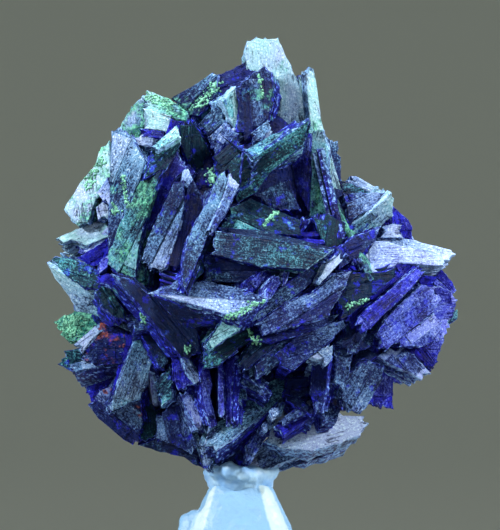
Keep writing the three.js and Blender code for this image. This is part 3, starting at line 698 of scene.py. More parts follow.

# Each row is a crystal that faces the viewer: its name, the depth of its face towards the viewer
# at its middle, how much that depth falls to the right and upwards, its thickness, its finish,
# and its outline from the front as (x, z).
# A row's frost number is also painted light and shade: high on faces turned to the lamps, low on
# crystals in recesses.
CRYSTALS = {
    "crown": (4, 0.1, 0.1, 2, (85, 25, 15, 0), ((0.4, 83.4), (0.9, 85.2), (2.2, 85.8), (5.3, 85.7),
        (8, 80), (9.9, 74), (9.6, 69), (2.5, 67), (1.2, 76))),
    "needle": (6, 0.3, 0.1, 1.5, (80, 35, 25, 0), ((9.1, 80.8), (9.7, 81.5), (10.4, 81.1),
        (10.8, 78.5), (11.4, 74), (13.1, 68), (14.5, 63.5), (15.1, 60.5), (14.7, 59.3), (13, 59.6),
        (13.3, 62.5), (12, 67), (10, 72), (9.5, 76))),
    "pillar": (9, -0.25, 0.1, 1.8, (72, 30, 30, 0), ((9.8, 73), (11.6, 72.5), (12.4, 69.5),
        (12.2, 66.6), (12.9, 63), (12.4, 60.2), (11.2, 60.5), (10.4, 58.1), (9.6, 58.1), (9.2, 62),
        (8.3, 67.5))),
    "shade_fin": (2, 0.2, 0, 1, (2, 0, 0, 0), ((8.2, 79.6), (9.1, 80.8), (10.4, 74), (9.4, 71),
        (8.6, 76))),
    "pillar_chip": (1, 0.3, 0.2, 1.2, (45, 10, 0, 0), ((11, 72.2), (13.9, 71.1), (14, 70),
        (13.1, 67.4), (11.6, 66))),
    "ridge_upper": (5, -0.2, 0.5, 1.8, (12, -25, 30, 0), ((-3.3, 80.5), (1, 82.6), (1.8, 81),
        (3, 77), (-2.6, 75), (-3.6, 78))),
    "ridge_lower": (5, -0.3, 0.5, 2, (38, 5, 40, 0), ((-10, 77.1), (-6.6, 79), (-4, 80.8),
        (-3.2, 80.5), (-3.4, 77.5), (-6, 74.5), (-8.6, 74.5))),
    "diamond": (9, -0.3, 0.1, 2.2, (20, -10, 30, 0), ((-0.8, 78.4), (1.8, 80.8), (3.3, 81.4),
        (4.3, 80.6), (4.7, 78), (3.9, 73.8), (1.6, 71.8), (0.5, 70.3), (-0.4, 73.5))),
    "diamond_rim": (8, 0.9, 0.2, 1.6, (62, 45, 25, 0), ((-2.7, 76.7), (-0.6, 78.7), (0.4, 76),
        (0.8, 71.5), (0.3, 70.2), (-0.3, 71.5), (-1.5, 74))),
    "bright_wedge": (11, 0.1, 0.6, 1.2, (70, 10, 0, 0), ((1.4, 72), (3.9, 74), (4.3, 72.9),
        (3, 71), (1.7, 70.6))),
    "roof_top": (13, 0.25, 0.8, 1.6, (52, 30, 10, 0), ((0.4, 69.4), (4.2, 71.8), (9.7, 73.9),
        (9, 72.2), (4, 69.8), (1.5, 67.9))),
    "roof_front": (14, 0.3, -0.35, 1.8, (34, 50, 12, 0), ((0.4, 69.2), (1.5, 68.3), (9.7, 73.7),
        (9, 70.3), (6.5, 68.2), (4, 66.2), (2.2, 63.4), (-0.4, 61.9), (-0.7, 62.6), (0, 65.5))),
    "dusk_column": (9, -0.4, 0.2, 1.6, (20, -50, 0, 0), ((6.9, 69.8), (9, 72), (9.9, 72),
        (9.7, 66), (9.4, 61), (8, 63.4), (7.2, 65.5))),
    "recess_leaf": (12, 0.15, 0.5, 1.2, (3, 0, 0, 0), ((1.8, 63.4), (2.9, 65.1), (4.6, 65.7),
        (6.9, 65.5), (8.6, 61), (4.5, 60.8))),
    "green_shelf": (15, 0.1, 0.6, 1.5, (18, 40, 25, 8), ((-3.2, 58.4), (-1.6, 61.5), (1.3, 62.9),
        (8.5, 59.7), (8.8, 57.5), (1, 57.6))),
    "plank": (19, 0.1, 0.12, 3, (44, 25, 12, 5), ((-3.9, 58.2), (6, 56.7), (12.9, 55.4),
        (11.8, 54.4), (9.5, 52.7), (3, 53), (-4.3, 54.9))),
    "plank_back": (17, 0.1, 0.5, 1.4, (30, 15, 8, 0), ((-3.4, 58.7), (3, 58.3), (13.2, 55.7),
        (12.4, 54.6), (-3.8, 56.8))),
    "under_plank": (18, 0.05, -0.2, 1.6, (9, 5, 0, 5), ((-5, 54.7), (-1, 53.9), (3.3, 52.6),
        (1.4, 50.9), (-0.4, 50.7), (-5.6, 50.8))),
    "grey_wing": (20, -0.1, 0.7, 1.5, (50, -10, 5, 0), ((-13.1, 49.4), (-9, 51.3), (-4, 51),
        (0.5, 50), (3.8, 48.7), (2, 47), (0, 46), (-2, 46.3), (-5, 47.2), (-9, 48.4))),
    "under_wing": (18, -0.1, -0.6, 1.2, (3, 10, 0, 0), ((-12.2, 48.8), (-2.2, 46), (-3.5, 44.6),
        (-6.6, 44.2), (-9, 45))),
    "spear": (18, 0.35, 0.15, 1.6, (20, 10, 15, 0), ((-18, 52.1), (-15.5, 51.4), (-12.8, 49.2),
        (-6.6, 47.1), (-5.9, 44.5), (-5.5, 40.9), (-7.3, 40.1), (-8.3, 40.3), (-12, 45))),
    "lance": (19, 0.25, 0.25, 1.3, (42, 10, 0, 0), ((-3, 66), (-2.2, 66.6), (-1.8, 65.3),
        (-2.4, 63.3), (-4.1, 58.4), (-5.6, 54.8), (-7.8, 49.5), (-8.2, 50.6), (-8.1, 53.5),
        (-7.5, 57), (-6, 60), (-4.6, 62.3))),
    "lance_twin": (18, 0.6, 0.2, 1, (55, -20, 0, 5), ((-1.3, 66.2), (-0.1, 64.6), (-2.2, 60.3),
        (-4, 57.6), (-4.4, 58.2), (-3.1, 61), (-1.9, 64))),
    "lance_side": (18, 0.9, 0, 1.2, (6, 50, 5, 0), ((-4.2, 57.8), (-3.9, 56), (-4.5, 53.8),
        (-5.3, 52), (-7.9, 49.4), (-5.8, 54.2))),
    "slab_a": (13, -0.15, 0.25, 1.4, (36, -60, 0, 0), ((-9.2, 69.8), (-7.5, 67.3), (-9.3, 65.2),
        (-11.4, 60.6), (-13.1, 58.2), (-14.1, 58.7), (-13.4, 61), (-11.8, 65.5), (-10.4, 68.5))),
    "slab_b": (16, -0.1, 0.2, 1.8, (50, 0, 5, 0), ((-9.4, 65), (-8.1, 65.3), (-7.8, 62),
        (-8.9, 57), (-10.3, 52.8), (-11.4, 52.3), (-13, 52.8), (-14, 54), (-13.2, 57),
        (-11.7, 60.3))),
    "slab_c": (15, 0.55, 0.15, 1.6, (15, -15, 0, 0), ((-6.7, 65.5), (-5.1, 62.9), (-5.2, 61.4),
        (-6.4, 58), (-7.6, 54), (-9.2, 52.5), (-10.4, 53), (-8.9, 57.5), (-8, 62.5))),
    "slab_chip": (14, 0.2, 0.3, 1.2, (50, -10, 0, 0), ((-8.1, 66.6), (-7.4, 66.9), (-6.7, 65.4),
        (-7.5, 64.2), (-8.3, 65))),
    "shadow_sail": (10, 0.5, -0.2, 1.5, (3, 80, 10, 0), ((-8.7, 73.2), (-7.1, 74), (-6, 72.4),
        (-4.8, 70.5), (-4.1, 69), (-5.2, 67.9), (-5.2, 64.2), (-6.1, 64.6), (-7.4, 67.5),
        (-8.7, 70.5))),
    "blue_sail_top": (8, -0.4, 0.3, 1.4, (38, 10, 0, 0), ((-6.1, 73.3), (-5.4, 74.1), (-3.6, 76.2),
        (-2.4, 75.4), (-2, 73.7), (-4.7, 71.2), (-6, 72.4))),
    "blue_sail_low": (10, -0.5, 0.2, 1.4, (50, -20, 0, 15), ((-4.8, 71.4), (-2.4, 73.6),
        (-1, 72.2), (-3, 69.4), (-3.6, 68.7), (-4.4, 69.7))),
    "teal_slab": (13, 0.1, 0.3, 2, (5, 50, 5, 0), ((-4, 68.6), (-0.5, 71.8), (0.5, 70.4),
        (0.7, 66), (-0.6, 64), (-1.9, 66.8), (-3.2, 65.6), (-3.7, 67.2))),
    "cap_top": (8, -0.2, 0.6, 3, (62, 35, 48, 0), ((-14.2, 77.3), (-13.4, 78.2), (-10.2, 77),
        (-7.6, 75.1), (-7.2, 73.6), (-10, 74.3), (-13.9, 75.3))),
    "cap_white": (9, -0.1, 0.1, 3, (100, 20, 5, 0), ((-13.9, 75.5), (-9.4, 74.5), (-9, 72.6),
        (-10.5, 72), (-13.8, 72.6))),
    "cap_blue": (10, -0.4, 0.3, 1.2, (5, -100, 0, 0), ((-11, 71.3), (-9.9, 74.1), (-8.4, 73.7),
        (-9.4, 71.2))),
    "cap_bar": (10, 0, 0.5, 1.2, (5, -50, 0, 0), ((-14.3, 72.7), (-10.8, 72.3), (-11, 71.2),
        (-14, 71.6))),
    "cap_bar_low": (10, 0, 0.2, 1.2, (70, 0, 0, 0), ((-15.2, 71.2), (-14, 71.9), (-11.2, 71.2),
        (-12, 69.8), (-15, 70.4))),
    "cap_triangle": (10, 0.3, 0.2, 1.2, (30, 20, 30, 0), ((-15, 70.8), (-12, 70.4), (-13.1, 68),
        (-13.9, 68.2))),
    "far_left_back": (4, -0.4, 0.1, 3.2, (62, 10, 50, 0), ((-14, 77.5), (-15.7, 75.9), (-17, 73.6),
        (-17.4, 72.7), (-15, 70.5), (-13.4, 73.5))),
    "tall_slab": (11, -0.45, 0.2, 2, (42, 10, 22, 0), ((-18.4, 72.3), (-17.3, 72.8), (-15.5, 71.8),
        (-13.4, 67.9), (-14.2, 65.2), (-16.8, 59), (-18.9, 54.9), (-18.8, 61), (-18.6, 67))),
    "left_wing": (5, -0.35, 0.35, 1.6, (74, 22, 46, 0), ((-18.8, 71.1), (-20, 70.1), (-20.6, 67.8),
        (-23, 65), (-24.9, 62), (-25.2, 61.2), (-24.2, 59.6), (-23.1, 58.8), (-21.7, 59.2),
        (-20.6, 62.5), (-18, 64.5))),
    "left_knob": (7, -0.2, 0.2, 3, (90, 20, 0, 0), ((-20.6, 61.5), (-19.6, 62.3), (-18.7, 61.5),
        (-18.9, 59.8), (-20.3, 59.6))),
    "left_lilac": (8, -0.6, 0.1, 3, (60, -30, 0, 0), ((-20.6, 63.6), (-19, 65.8), (-18.4, 64),
        (-18.6, 61.5), (-19.6, 62.4))),
    "left_prong": (5, -0.2, 0.45, 1.5, (95, 20, 0, 0), ((-26.4, 57.1), (-23.5, 58.5),
        (-19.2, 60.1), (-17.8, 57.6), (-21.8, 56), (-24.2, 56.9), (-25.4, 56.4))),
    "left_prong_low": (4, -0.2, 0.1, 1.2, (40, -60, 0, 0), ((-24.1, 56.4), (-22.8, 57),
        (-18.6, 57.6), (-20.5, 55.4), (-22.5, 54.8), (-23.3, 55))),
    "left_deep": (7, -0.5, -0.2, 1.2, (3, -100, 0, 0), ((-23.6, 54.2), (-19, 57), (-18, 55),
        (-18.4, 53.2), (-21.5, 53))),
    "left_wedge_top": (9, -0.45, 0.5, 1.6, (30, 50, 15, 0), ((-27.7, 53.7), (-26.4, 54.6),
        (-24.3, 54.4), (-21, 53.3), (-19.6, 52), (-19.8, 49.8), (-22.3, 50.1), (-25, 51.7))),
    "left_wedge_face": (9, -0.45, -0.35, 5.5, (75, 20, 5, 0), ((-27.6, 53.5), (-22.2, 50.3),
        (-20.2, 50.3), (-19.8, 48), (-17.3, 45.6), (-16, 43.9), (-20.5, 46), (-23.4, 46.6),
        (-24.3, 48.5), (-26.4, 51.2))),
    "barrel": (14, 0.2, 0.3, 2, (12, 60, 12, 0), ((-20.6, 49.6), (-19.7, 50.8), (-18.5, 50.1),
        (-16.4, 47), (-16.3, 45.6), (-17.5, 45.6), (-19.6, 47.6))),
    "arch_rim": (14, -0.1, 0.8, 0.8, (15, -100, 0, 0), ((-20.4, 51.8), (-18.8, 52.2), (-17, 51.3),
        (-15.8, 49.4), (-17.6, 50.3), (-20.2, 50.9))),
    "side_bud": (13, 0.1, 0.3, 3, (30, -80, 0, 0), ((-19.9, 53.8), (-19.3, 54.5), (-18.7, 54.2),
        (-18.8, 53), (-19.9, 52.2))),
    "green_tip": (15, -0.25, 0.15, 1.8, (30, 30, 45, 0), ((-14.2, 65.1), (-11, 66.8), (-12, 64.6),
        (-13.4, 60), (-14.3, 56), (-14.9, 51.6), (-15.8, 51.1), (-17.6, 52.1), (-18.8, 53.4),
        (-18.8, 54.5), (-17, 59.5))),
    "fold_face": (13, 0.35, 0.35, 1.4, (30, 60, 0, 5), ((-13.6, 65.4), (-12.5, 69.6), (-8.7, 73.4),
        (-8.4, 70.4), (-9.2, 68.6), (-10.4, 66.8))),
    "fold_rim": (13, 0.1, 0.9, 1, (90, 40, 40, 0), ((-12.6, 70), (-8.7, 73.5), (-8.4, 71.4),
        (-11.6, 69.6))),
    "right_rod": (5, 0.25, 0.4, 1.3, (85, 10, 0, 0), ((15.1, 65.4), (15.6, 66), (16.4, 66),
        (20.6, 63.7), (20.4, 62.6), (16, 64.6), (15.3, 64.9))),
    "right_rod_low": (6, 0.2, 0.3, 1.2, (30, 40, 10, 0), ((13.8, 65.6), (15.4, 65.1), (18.6, 63.6),
        (18.4, 62.6), (14.2, 62.4))),
    "right_leaf": (9, 0.3, 0.2, 1.4, (55, -15, 0, 0), ((14.6, 63.4), (17, 63.7), (21.3, 63.6),
        (19.8, 61.6), (15, 59.4))),
    "right_leaf_low": (9, 0.45, -0.3, 1.5, (85, 30, 10, 0), ((21.4, 63.5), (21.8, 62.6),
        (21.7, 60.2), (19.9, 58.8), (17.5, 57.6), (14, 55.8), (14.4, 58.2), (17.9, 60.6))),
    "right_gap_leaf": (9, 0.5, 0.7, 1, (3, 0, 0, 0), ((14.6, 59.8), (19.6, 61.8), (18.2, 60),
        (14.8, 57.8))),
    "right_stripes": (13, 0.6, 0.3, 1.8, (12, -20, 0, 0), ((13.4, 55.6), (16, 57.4), (20, 58.9),
        (19.2, 56.8), (17, 54.6), (14, 52.8), (13.2, 53.8))),
    "right_block": (8, 0.3, 0.2, 1.6, (70, -20, 0, 0), ((20, 58.7), (21.6, 59.2), (22.9, 59),
        (23.1, 57.2), (19.8, 57.2))),
    "right_cube": (4, 0.5, 0.3, 2, (20, -90, 0, 0), ((21.4, 62), (22.4, 61.1), (23.9, 59.8),
        (24.5, 58.6), (24.5, 56.8), (21.4, 57))),
    "big_lilac_back": (7, 0.3, 0.5, 1.6, (85, -10, 0, 0), ((19.3, 57.2), (20.3, 57.7), (24.5, 57),
        (29.9, 55.5), (30.6, 54.9), (28.6, 53), (24, 53.4), (19, 55.6))),
    "big_lilac": (10, 0.3, 0.4, 1.8, (88, -30, 0, 0), ((18.7, 56.9), (20.5, 56.7), (24, 55.9),
        (27, 55.1), (28.8, 53.3), (27.5, 53.2), (25.5, 53.4), (22.2, 53.6), (21.4, 52.8),
        (20.3, 52.2), (16, 52.2), (17.4, 54.8))),
    "lilac_edge": (12, 0.9, 0.2, 1, (5, -90, 0, 0), ((14.8, 52.4), (18.3, 57.2), (19, 57),
        (16.2, 52))),
    "cliff_dark": (15, 0.45, 0.1, 1.5, (6, 30, 12, 5), ((14.2, 52.2), (20.5, 52.4), (22, 53.1),
        (22.1, 51.8), (17.8, 48.3), (15.5, 46.2), (14.2, 45.6), (13.6, 48.5), (14.6, 50.2))),
    "cliff_blue": (11, 0.5, 0.3, 1.4, (15, -80, 0, 0), ((21.9, 53.8), (25.4, 54), (26, 52.8),
        (22, 50.2), (19, 47.8), (17.7, 48.4), (20, 50.5), (22, 52))),
    "white_edge": (14, 0.45, 0.2, 1.5, (30, -70, 0, 0), ((16.3, 44.9), (17.2, 43.8), (18.3, 44.3),
        (20.3, 46.4), (24.3, 50.1), (26.2, 52.5), (25.3, 53.3), (22.4, 51), (18, 47.4),
        (16.7, 46))),
    "speckle_blade": (12, 0.5, 0.2, 1.8, (45, -60, 0, 0), ((19.9, 41.6), (20.5, 41.2),
        (22.5, 42.9), (27.3, 46.5), (28.6, 48.6), (27.6, 50.3), (25.6, 50.6), (22.2, 47.6),
        (20.2, 45.6), (19.2, 43.6))),
    "speckle_under": (10, 0.5, 0.1, 3.2, (42, -60, 0, 0), ((21.4, 42.2), (27.4, 46.6),
        (28.6, 45.2), (28.2, 42.5), (25.2, 41.6), (22.4, 41.7))),
    "fan_outer": (5.5, 0.3, 0, 3, (48, -80, 5, 0), ((18, 49), (28.4, 50.3), (30, 49.6),
        (30.9, 48.3), (30.3, 46), (29.8, 44.4), (28.4, 41), (27.9, 39.6), (26.4, 40.4), (19, 43))),
    "fan_tip": (2, 0.4, 0.3, 2.2, (50, 30, 40, 0), ((29.4, 48), (31.6, 47), (31.4, 46),
        (29.8, 44.9), (28.4, 45.2))),
    "fan_arc": (3, 0.5, 0.4, 2.5, (36, -80, 5, 0), ((26.6, 53.4), (28.6, 52.9), (30.2, 51),
        (30.8, 49.7), (30.2, 48.8), (28.4, 49.6), (26.2, 51.6))),
    "fan_deep": (7, 0.4, 0.5, 1.2, (5, -100, 0, 0), ((24.8, 52), (28.2, 51.8), (27.6, 49.9),
        (25.4, 49.9))),
    "low_right_a": (9, 0.4, 0.2, 1.6, (66, -30, 0, 0), ((19.4, 40.4), (20.6, 41.6), (22.8, 41.8),
        (24.6, 40.7), (27.1, 37.9), (25.7, 37), (24.4, 37.8), (21, 39.3))),
    "low_right_b": (7, 0.4, 0.3, 1.4, (12, -90, 0, 10), ((23.2, 42.4), (25.6, 42.6), (28.1, 39.6),
        (27.5, 38.7), (26.2, 39), (23.8, 40.6))),
    "low_right_c": (6, 0.3, -0.5, 3, (30, -80, 0, 0), ((20.6, 39.5), (24.8, 37.7), (23.8, 36.8),
        (22.4, 36.3), (20.6, 37.2))),
    "oval_leaf": (13, 0.35, -0.15, 6, (50, -10, 0, 0), ((16.8, 39.5), (18.2, 39.9), (20.3, 39),
        (20.2, 37.2), (19.4, 35.9), (17.8, 33.1), (16.9, 32.2), (15.2, 32.4), (14, 34.5),
        (14.2, 36.5), (15.3, 38.1))),
    "tail_wedge": (7, 0.5, -0.2, 4.5, (12, -80, 0, 0), ((16, 42), (20.4, 40), (22, 38.2),
        (21.7, 36), (21.8, 32.7), (20, 32.7), (18, 33.3), (16, 37))),
    "keel": (7, 0.15, 0.4, 3, (76, 0, 0, 0), ((3.4, 28.4), (5.8, 27.2), (10, 26.9), (13.8, 27.9),
        (17, 29.1), (17.5, 30.1), (18.2, 30.9), (17.6, 31.9), (14.5, 32), (12, 35), (5, 33))),
    "keel_low": (5, 0.1, 0.3, 1.8, (75, -10, 0, 0), ((0.7, 24.7), (1.8, 23.9), (4.5, 24.5),
        (10.4, 26.9), (9.5, 28.2), (5.8, 28.6), (3, 28), (1.4, 26.6))),
    "keel_under": (3, 0.2, -0.5, 1.6, (35, -10, 0, 0), ((4, 23.6), (6.4, 24), (10.5, 25.4),
        (13.2, 26.3), (14, 27.9), (12, 29.5), (9.8, 28.2), (4.2, 25.6))),
    "rib_a": (18, 0.15, 0.15, 1.2, (12, 0, 0, 0), ((1.6, 45.3), (2.6, 44.9), (9.8, 50.6),
        (10.8, 52.2), (9.6, 53), (3.5, 48.6), (2, 46.8))),
    "rib_b": (18, 0.2, 0.25, 1.8, (36, -20, 0, 8), ((2, 45), (6.5, 48), (10.5, 49.6), (13.2, 51.9),
        (15.6, 52.5), (14.9, 50.4), (13.6, 48.3), (12.5, 46.2), (7.5, 44.6), (3.2, 43.5))),
    "rib_c": (17, 0.15, 0.3, 1, (15, -30, 0, 0), ((0.6, 42.8), (3.2, 44.2), (8, 45.2),
        (13.8, 46.4), (13.4, 45.4), (8.4, 43.5), (4.5, 42.4))),
    "rib_d": (17, 0.2, 0.3, 1.4, (15, -20, 0, 0), ((7, 38.4), (11.3, 41.5), (15.1, 45),
        (14.7, 45.7), (8.6, 44), (4.8, 40.8), (5.4, 39.2))),
    "rib_e": (17, 0.1, 0.2, 1.3, (42, 10, 0, 5), ((2.2, 37.2), (5.4, 39.4), (8.3, 42.1),
        (8.5, 43.9), (7.6, 44.2), (4.8, 42), (2, 39.2))),
    "rib_f": (17, 0.05, 0.3, 1.3, (12, 30, 0, 0), ((-0.4, 39.4), (1.6, 42.6), (4.7, 44),
        (5.1, 42.2), (1.4, 39), (0.4, 38.6))),
    "speckle_rib": (19, 0.05, 0.3, 1.4, (45, 40, 30, 0), ((-5, 42), (-2.6, 45.7), (-1.2, 46.4),
        (3.4, 48.8), (2.2, 46.6), (-0.2, 44.1), (-2.5, 42.6), (-4.5, 41.2))),
    "teal_rib": (18, 0.05, 0.1, 1.5, (8, 50, 8, 0), ((-5.3, 41.9), (-0.2, 44.4), (1.2, 44.5),
        (3, 43.3), (0.3, 42), (-3.2, 39), (-5.4, 38.6))),
    "gap_fin_a": (18, 0.6, 0.1, 0.9, (40, -50, 0, 0), ((0.7, 49.2), (1.3, 48.8), (4.6, 52),
        (4.4, 53.2), (3.2, 53), (1, 50.8))),
    "gap_fin_b": (19, 0.5, 0.2, 0.9, (45, -50, 0, 0), ((3.4, 48.4), (4.3, 48.6), (5.7, 50.8),
        (5.4, 51.8), (4.8, 51.6), (3.5, 49.8))),
    "gap_fin_c": (17, 0.6, 0.1, 0.9, (55, -60, 0, 0), ((5.9, 50.4), (6.4, 50.4), (7.3, 53.2),
        (6.6, 53.6), (5.8, 52))),
    "gap_plate": (15, 0.2, 0.3, 1.2, (5, 0, 0, 0), ((6.4, 50), (11, 53.2), (12.6, 55), (13.2, 54),
        (10.6, 51), (7, 48.8))),
    "splinter": (17, 0.3, 0.3, 1.2, (90, 0, 0, 0), ((10.8, 50.9), (11.1, 51.7), (12, 53.4),
        (14, 54.9), (14.4, 54.1), (12.8, 52.4), (11.2, 50.7))),
    "olive_plate": (13, 0.45, 0.1, 1.5, (15, 70, 5, 0), ((10.2, 59.9), (12.4, 60.6), (14.9, 59.3),
        (14.4, 56), (13.5, 54.2), (12, 55.6), (11, 57.6))),
    "blue_bar_a": (14, 0.2, 0.4, 0.9, (6, -100, 0, 0), ((7.6, 57.9), (10.8, 58.1), (11.2, 57.5),
        (7.4, 57))),
    "blue_bar_b": (15, 0.2, 0.3, 0.9, (6, -100, 0, 0), ((7.2, 57.1), (11.8, 56.9), (11.8, 56.3),
        (7.4, 56.3))),
    "vee_a": (14, -0.5, 0.3, 0.9, (25, -35, 0, 0), ((6.8, 57.2), (7.6, 57), (9.4, 59.7),
        (8.6, 60.2))),
    "fan_fin_a": (15, 0.5, 0.1, 1.2, (25, -60, 0, 0), ((-5.6, 40.6), (-4.6, 39.8), (-3.9, 36.5),
        (-4.3, 34.8), (-3.2, 30.7), (-4, 30.4), (-5.2, 33.5), (-5.6, 37))),
    "fan_fin_b": (16, 0.1, 0.1, 0.8, (32, -70, 0, 0), ((-3.2, 39.8), (-2.5, 39.8), (-2.3, 32.3),
        (-2.7, 31.8), (-3.1, 32.4))),
    "fan_fin_c": (15, -0.6, 0.1, 1, (15, -80, 0, 0), ((-2.3, 40.2), (-0.8, 40.6), (-1.3, 37),
        (-1.6, 31), (-2.2, 30.6), (-2.2, 36))),
    "fan_plate": (14, 0.3, 0.1, 1.2, (12, 0, 0, 0), ((-1.6, 36.4), (0.8, 35.8), (1, 34.2),
        (0.3, 33.2), (-1.6, 34.8))),
    "cross_plate_a": (14, 0.1, 0.5, 1, (15, -20, 0, 0), ((-0.9, 38.9), (0.8, 38.6), (4.4, 35.4),
        (3.6, 34.4), (-0.5, 36.9))),
    "cross_plate_b": (15, 0.2, 0.6, 0.9, (15, -10, 5, 5), ((0.4, 39.2), (2.2, 38.2), (4, 36.8),
        (3.2, 36), (0.4, 38))),
    "ledge": (12, 0.05, 0.55, 1.6, (40, 15, 0, 0), ((-5.2, 28.1), (-3.4, 27.5), (-1.2, 28.9),
        (5, 33.6), (9.5, 37.1), (7, 38.2), (4.3, 37), (0.5, 34.4), (-1.8, 31.8), (-4.6, 30.6))),
    "ledge_side": (10, 0.1, -0.5, 1.2, (5, -90, 0, 0), ((-2.9, 25.9), (-2.2, 25.9), (0.2, 28.3),
        (3, 30.8), (5.2, 33.8), (3, 32.6), (-0.6, 30), (-3, 28.2))),
    "ledge_stub": (7, 0, 0.2, 1.6, (4, 0, 0, 0), ((-3.6, 25), (-2.4, 27.4), (0.6, 28), (1.6, 26.8),
        (0.6, 24.6), (-1, 24.2))),
    "mid_strut": (10, 0.2, 0.2, 1.2, (24, -40, 0, 0), ((0.6, 27.6), (3.2, 31.2), (4.4, 30),
        (2.4, 26.9), (1.5, 25.3), (0.7, 25.6))),
    "fleck_a": (14, 0.2, 0.4, 0.9, (60, 0, 0, 0), ((4, 32.8), (4.4, 33.3), (5.2, 33.2),
        (5.4, 32.4), (4.6, 31.9))),
    "fleck_b": (13, 0.2, 0.3, 0.8, (52, -10, 0, 0), ((3, 30.8), (3.5, 31.3), (3.9, 30.6),
        (3.7, 29.8), (3.2, 30))),
    "fleck_c": (13, 0.3, 0.2, 0.8, (50, 10, 0, 0), ((5.2, 32.2), (5.9, 34), (6.3, 33.8),
        (5.7, 32))),
    "root_spike": (8, -0.15, 0.2, 1.4, (42, 10, 0, 0), ((-8.6, 34.6), (-8.1, 34.8), (-6.9, 31),
        (-5.8, 28.6), (-4.7, 27.6), (-4, 25.4), (-4.6, 24.3), (-5.5, 24.6), (-6.4, 27.5),
        (-7.7, 30.7))),
    "lilac_blade": (12, 0.3, 0.2, 1.2, (62, -30, 0, 0), ((-8.6, 35.3), (-7.6, 36), (-6.3, 33.6),
        (-5.3, 31.1), (-5.5, 30.1), (-6.1, 30.1), (-7.6, 32.8))),
    "lilac_shadow": (11, 0.4, 0.1, 1.4, (28, -10, 0, 0), ((-7.9, 36.3), (-6.2, 37.4), (-5, 33.6),
        (-4.6, 31.7), (-3.4, 30.8), (-4.8, 29.6), (-6.5, 31.6))),
    "white_strip": (15, 0.4, 0.2, 1.2, (58, 0, 0, 0), ((-8.3, 40.4), (-7.5, 40.6), (-6.1, 38.2),
        (-5.6, 37), (-6.4, 36.6), (-7.4, 38))),
    "blue_shield": (14, -0.2, 0.2, 1.4, (15, -60, 12, 0), ((-10, 41.2), (-9.3, 41.9), (-7.6, 40),
        (-6.7, 37.4), (-6.2, 36.5), (-8, 35.8), (-8.9, 35.7), (-9.8, 37.1))),
    "night_blade": (12, 0.35, 0.2, 1.4, (5, 20, 0, 0), ((-14, 43.4), (-12.5, 44.2), (-10.4, 42.8),
        (-9.4, 40.5), (-10.7, 38.5), (-11.5, 38.9), (-12.7, 40.8))),
    "slate_chip": (13, 0.1, 0.5, 1.3, (35, 0, 12, 0), ((-16.2, 46.2), (-14.5, 47.6), (-12.8, 46.4),
        (-12.4, 44.2), (-15, 43.9))),
    "tall_left": (11, 0.3, 0.15, 1.4, (50, 20, 0, 0), ((-14.5, 44.2), (-13.4, 43.7), (-12.4, 40),
        (-13, 36.5), (-14.2, 34.3), (-17.9, 32.8), (-18.3, 33.6), (-16.3, 39.5))),
    "tall_left_twin": (9, -0.6, 0.1, 1.2, (6, -90, 0, 0), ((-16.4, 43.9), (-15.2, 44),
        (-16.3, 39.3), (-18, 33.3), (-18.4, 35), (-17.4, 40))),
    "brown_plate": (8, -0.35, 0.2, 1.5, (12, -20, 0, 55), ((-20, 45.2), (-17.2, 44.8),
        (-15.8, 43.4), (-16.4, 41), (-16.9, 39.4), (-20.7, 39), (-22.8, 40), (-22.9, 41.4),
        (-21.2, 43))),
    "brown_rim": (7, -0.6, 0.5, 1.2, (60, 0, 0, 0), ((-23.9, 42), (-20, 45.4), (-19.6, 44.2),
        (-22.6, 40.8))),
    "green_nest": (4, -0.3, 0.2, 2.4, (35, 50, 90, 0), ((-26.8, 45.2), (-25.3, 46.1),
        (-23.3, 46.9), (-17, 47), (-16, 43), (-20.8, 42.5), (-24.4, 42.2), (-25.8, 43.4))),
    "foot_prong": (5, -0.4, 0.3, 2, (15, 50, 0, 0), ((-25.3, 41.1), (-23, 41.6), (-15, 41.5),
        (-15, 38.5), (-22, 38.8), (-24.4, 38.3), (-26.2, 39.2))),
    "foot_strip": (7, -0.25, 0.6, 1.2, (52, 0, 0, 0), ((-24.4, 39.3), (-24, 38.2), (-20, 38.8),
        (-16.6, 39.2), (-16.8, 40.6), (-19.6, 40.1), (-22, 40))),
    "rough_cheek": (7, -0.3, -0.25, 2, (20, -20, 0, 45), ((-21.8, 33.4), (-20.2, 35.6),
        (-18, 36.4), (-14.2, 34.8), (-13.8, 31), (-14.4, 28), (-15.4, 27.7), (-16.7, 28.4),
        (-20.4, 31.5))),
    "rust_cheek": (4, -0.5, 0, 1.8, (14, -70, 0, 30), ((-22.2, 38.3), (-18.6, 39), (-17.8, 36.3),
        (-19.2, 34.6), (-21.5, 33), (-22.2, 35))),
    "teal_leaf": (12, -0.3, 0.2, 1.3, (36, 40, 0, 0), ((-12.3, 36.7), (-10.1, 39.2), (-9.6, 37),
        (-9.7, 34.4), (-11.3, 33.2), (-11.9, 34.8))),
    "dusk_face": (9, -0.1, -0.2, 1.6, (30, -20, 0, 5), ((-12, 32), (-10.4, 33.2), (-8.2, 34.8),
        (-7.2, 30.5), (-6, 27.6), (-7, 26.4), (-9, 27.4), (-12.3, 28.7))),
    "hull_rim": (5, -0.1, -0.6, 1.8, (12, -10, 10, 0), ((-14.7, 27.6), (-12.3, 28.6), (-8.6, 28.4),
        (-6, 26.6), (-5.2, 24.2), (-6.6, 24.8), (-8, 25.9), (-11.5, 26.6))),
    "olive_pocket": (6, 0.1, 0.1, 1.4, (10, 70, 5, 5), ((-14.6, 32.4), (-13, 33.8), (-11.4, 33),
        (-11.2, 29), (-13.4, 28.2), (-14.6, 28.4))),
    "strut_plate": (15, -0.4, 0.1, 1.3, (15, -30, 0, 0), ((9.9, 40), (12.6, 40.6), (12.1, 36),
        (11.3, 32.5), (10.4, 32.3), (9.6, 35))),
    "strut_fin": (14, 0.4, 0.1, 1.2, (30, -10, 0, 0), ((13.2, 42), (14.4, 41.9), (15.9, 40.8),
        (15.3, 38), (14.4, 35.8), (13.2, 37))),
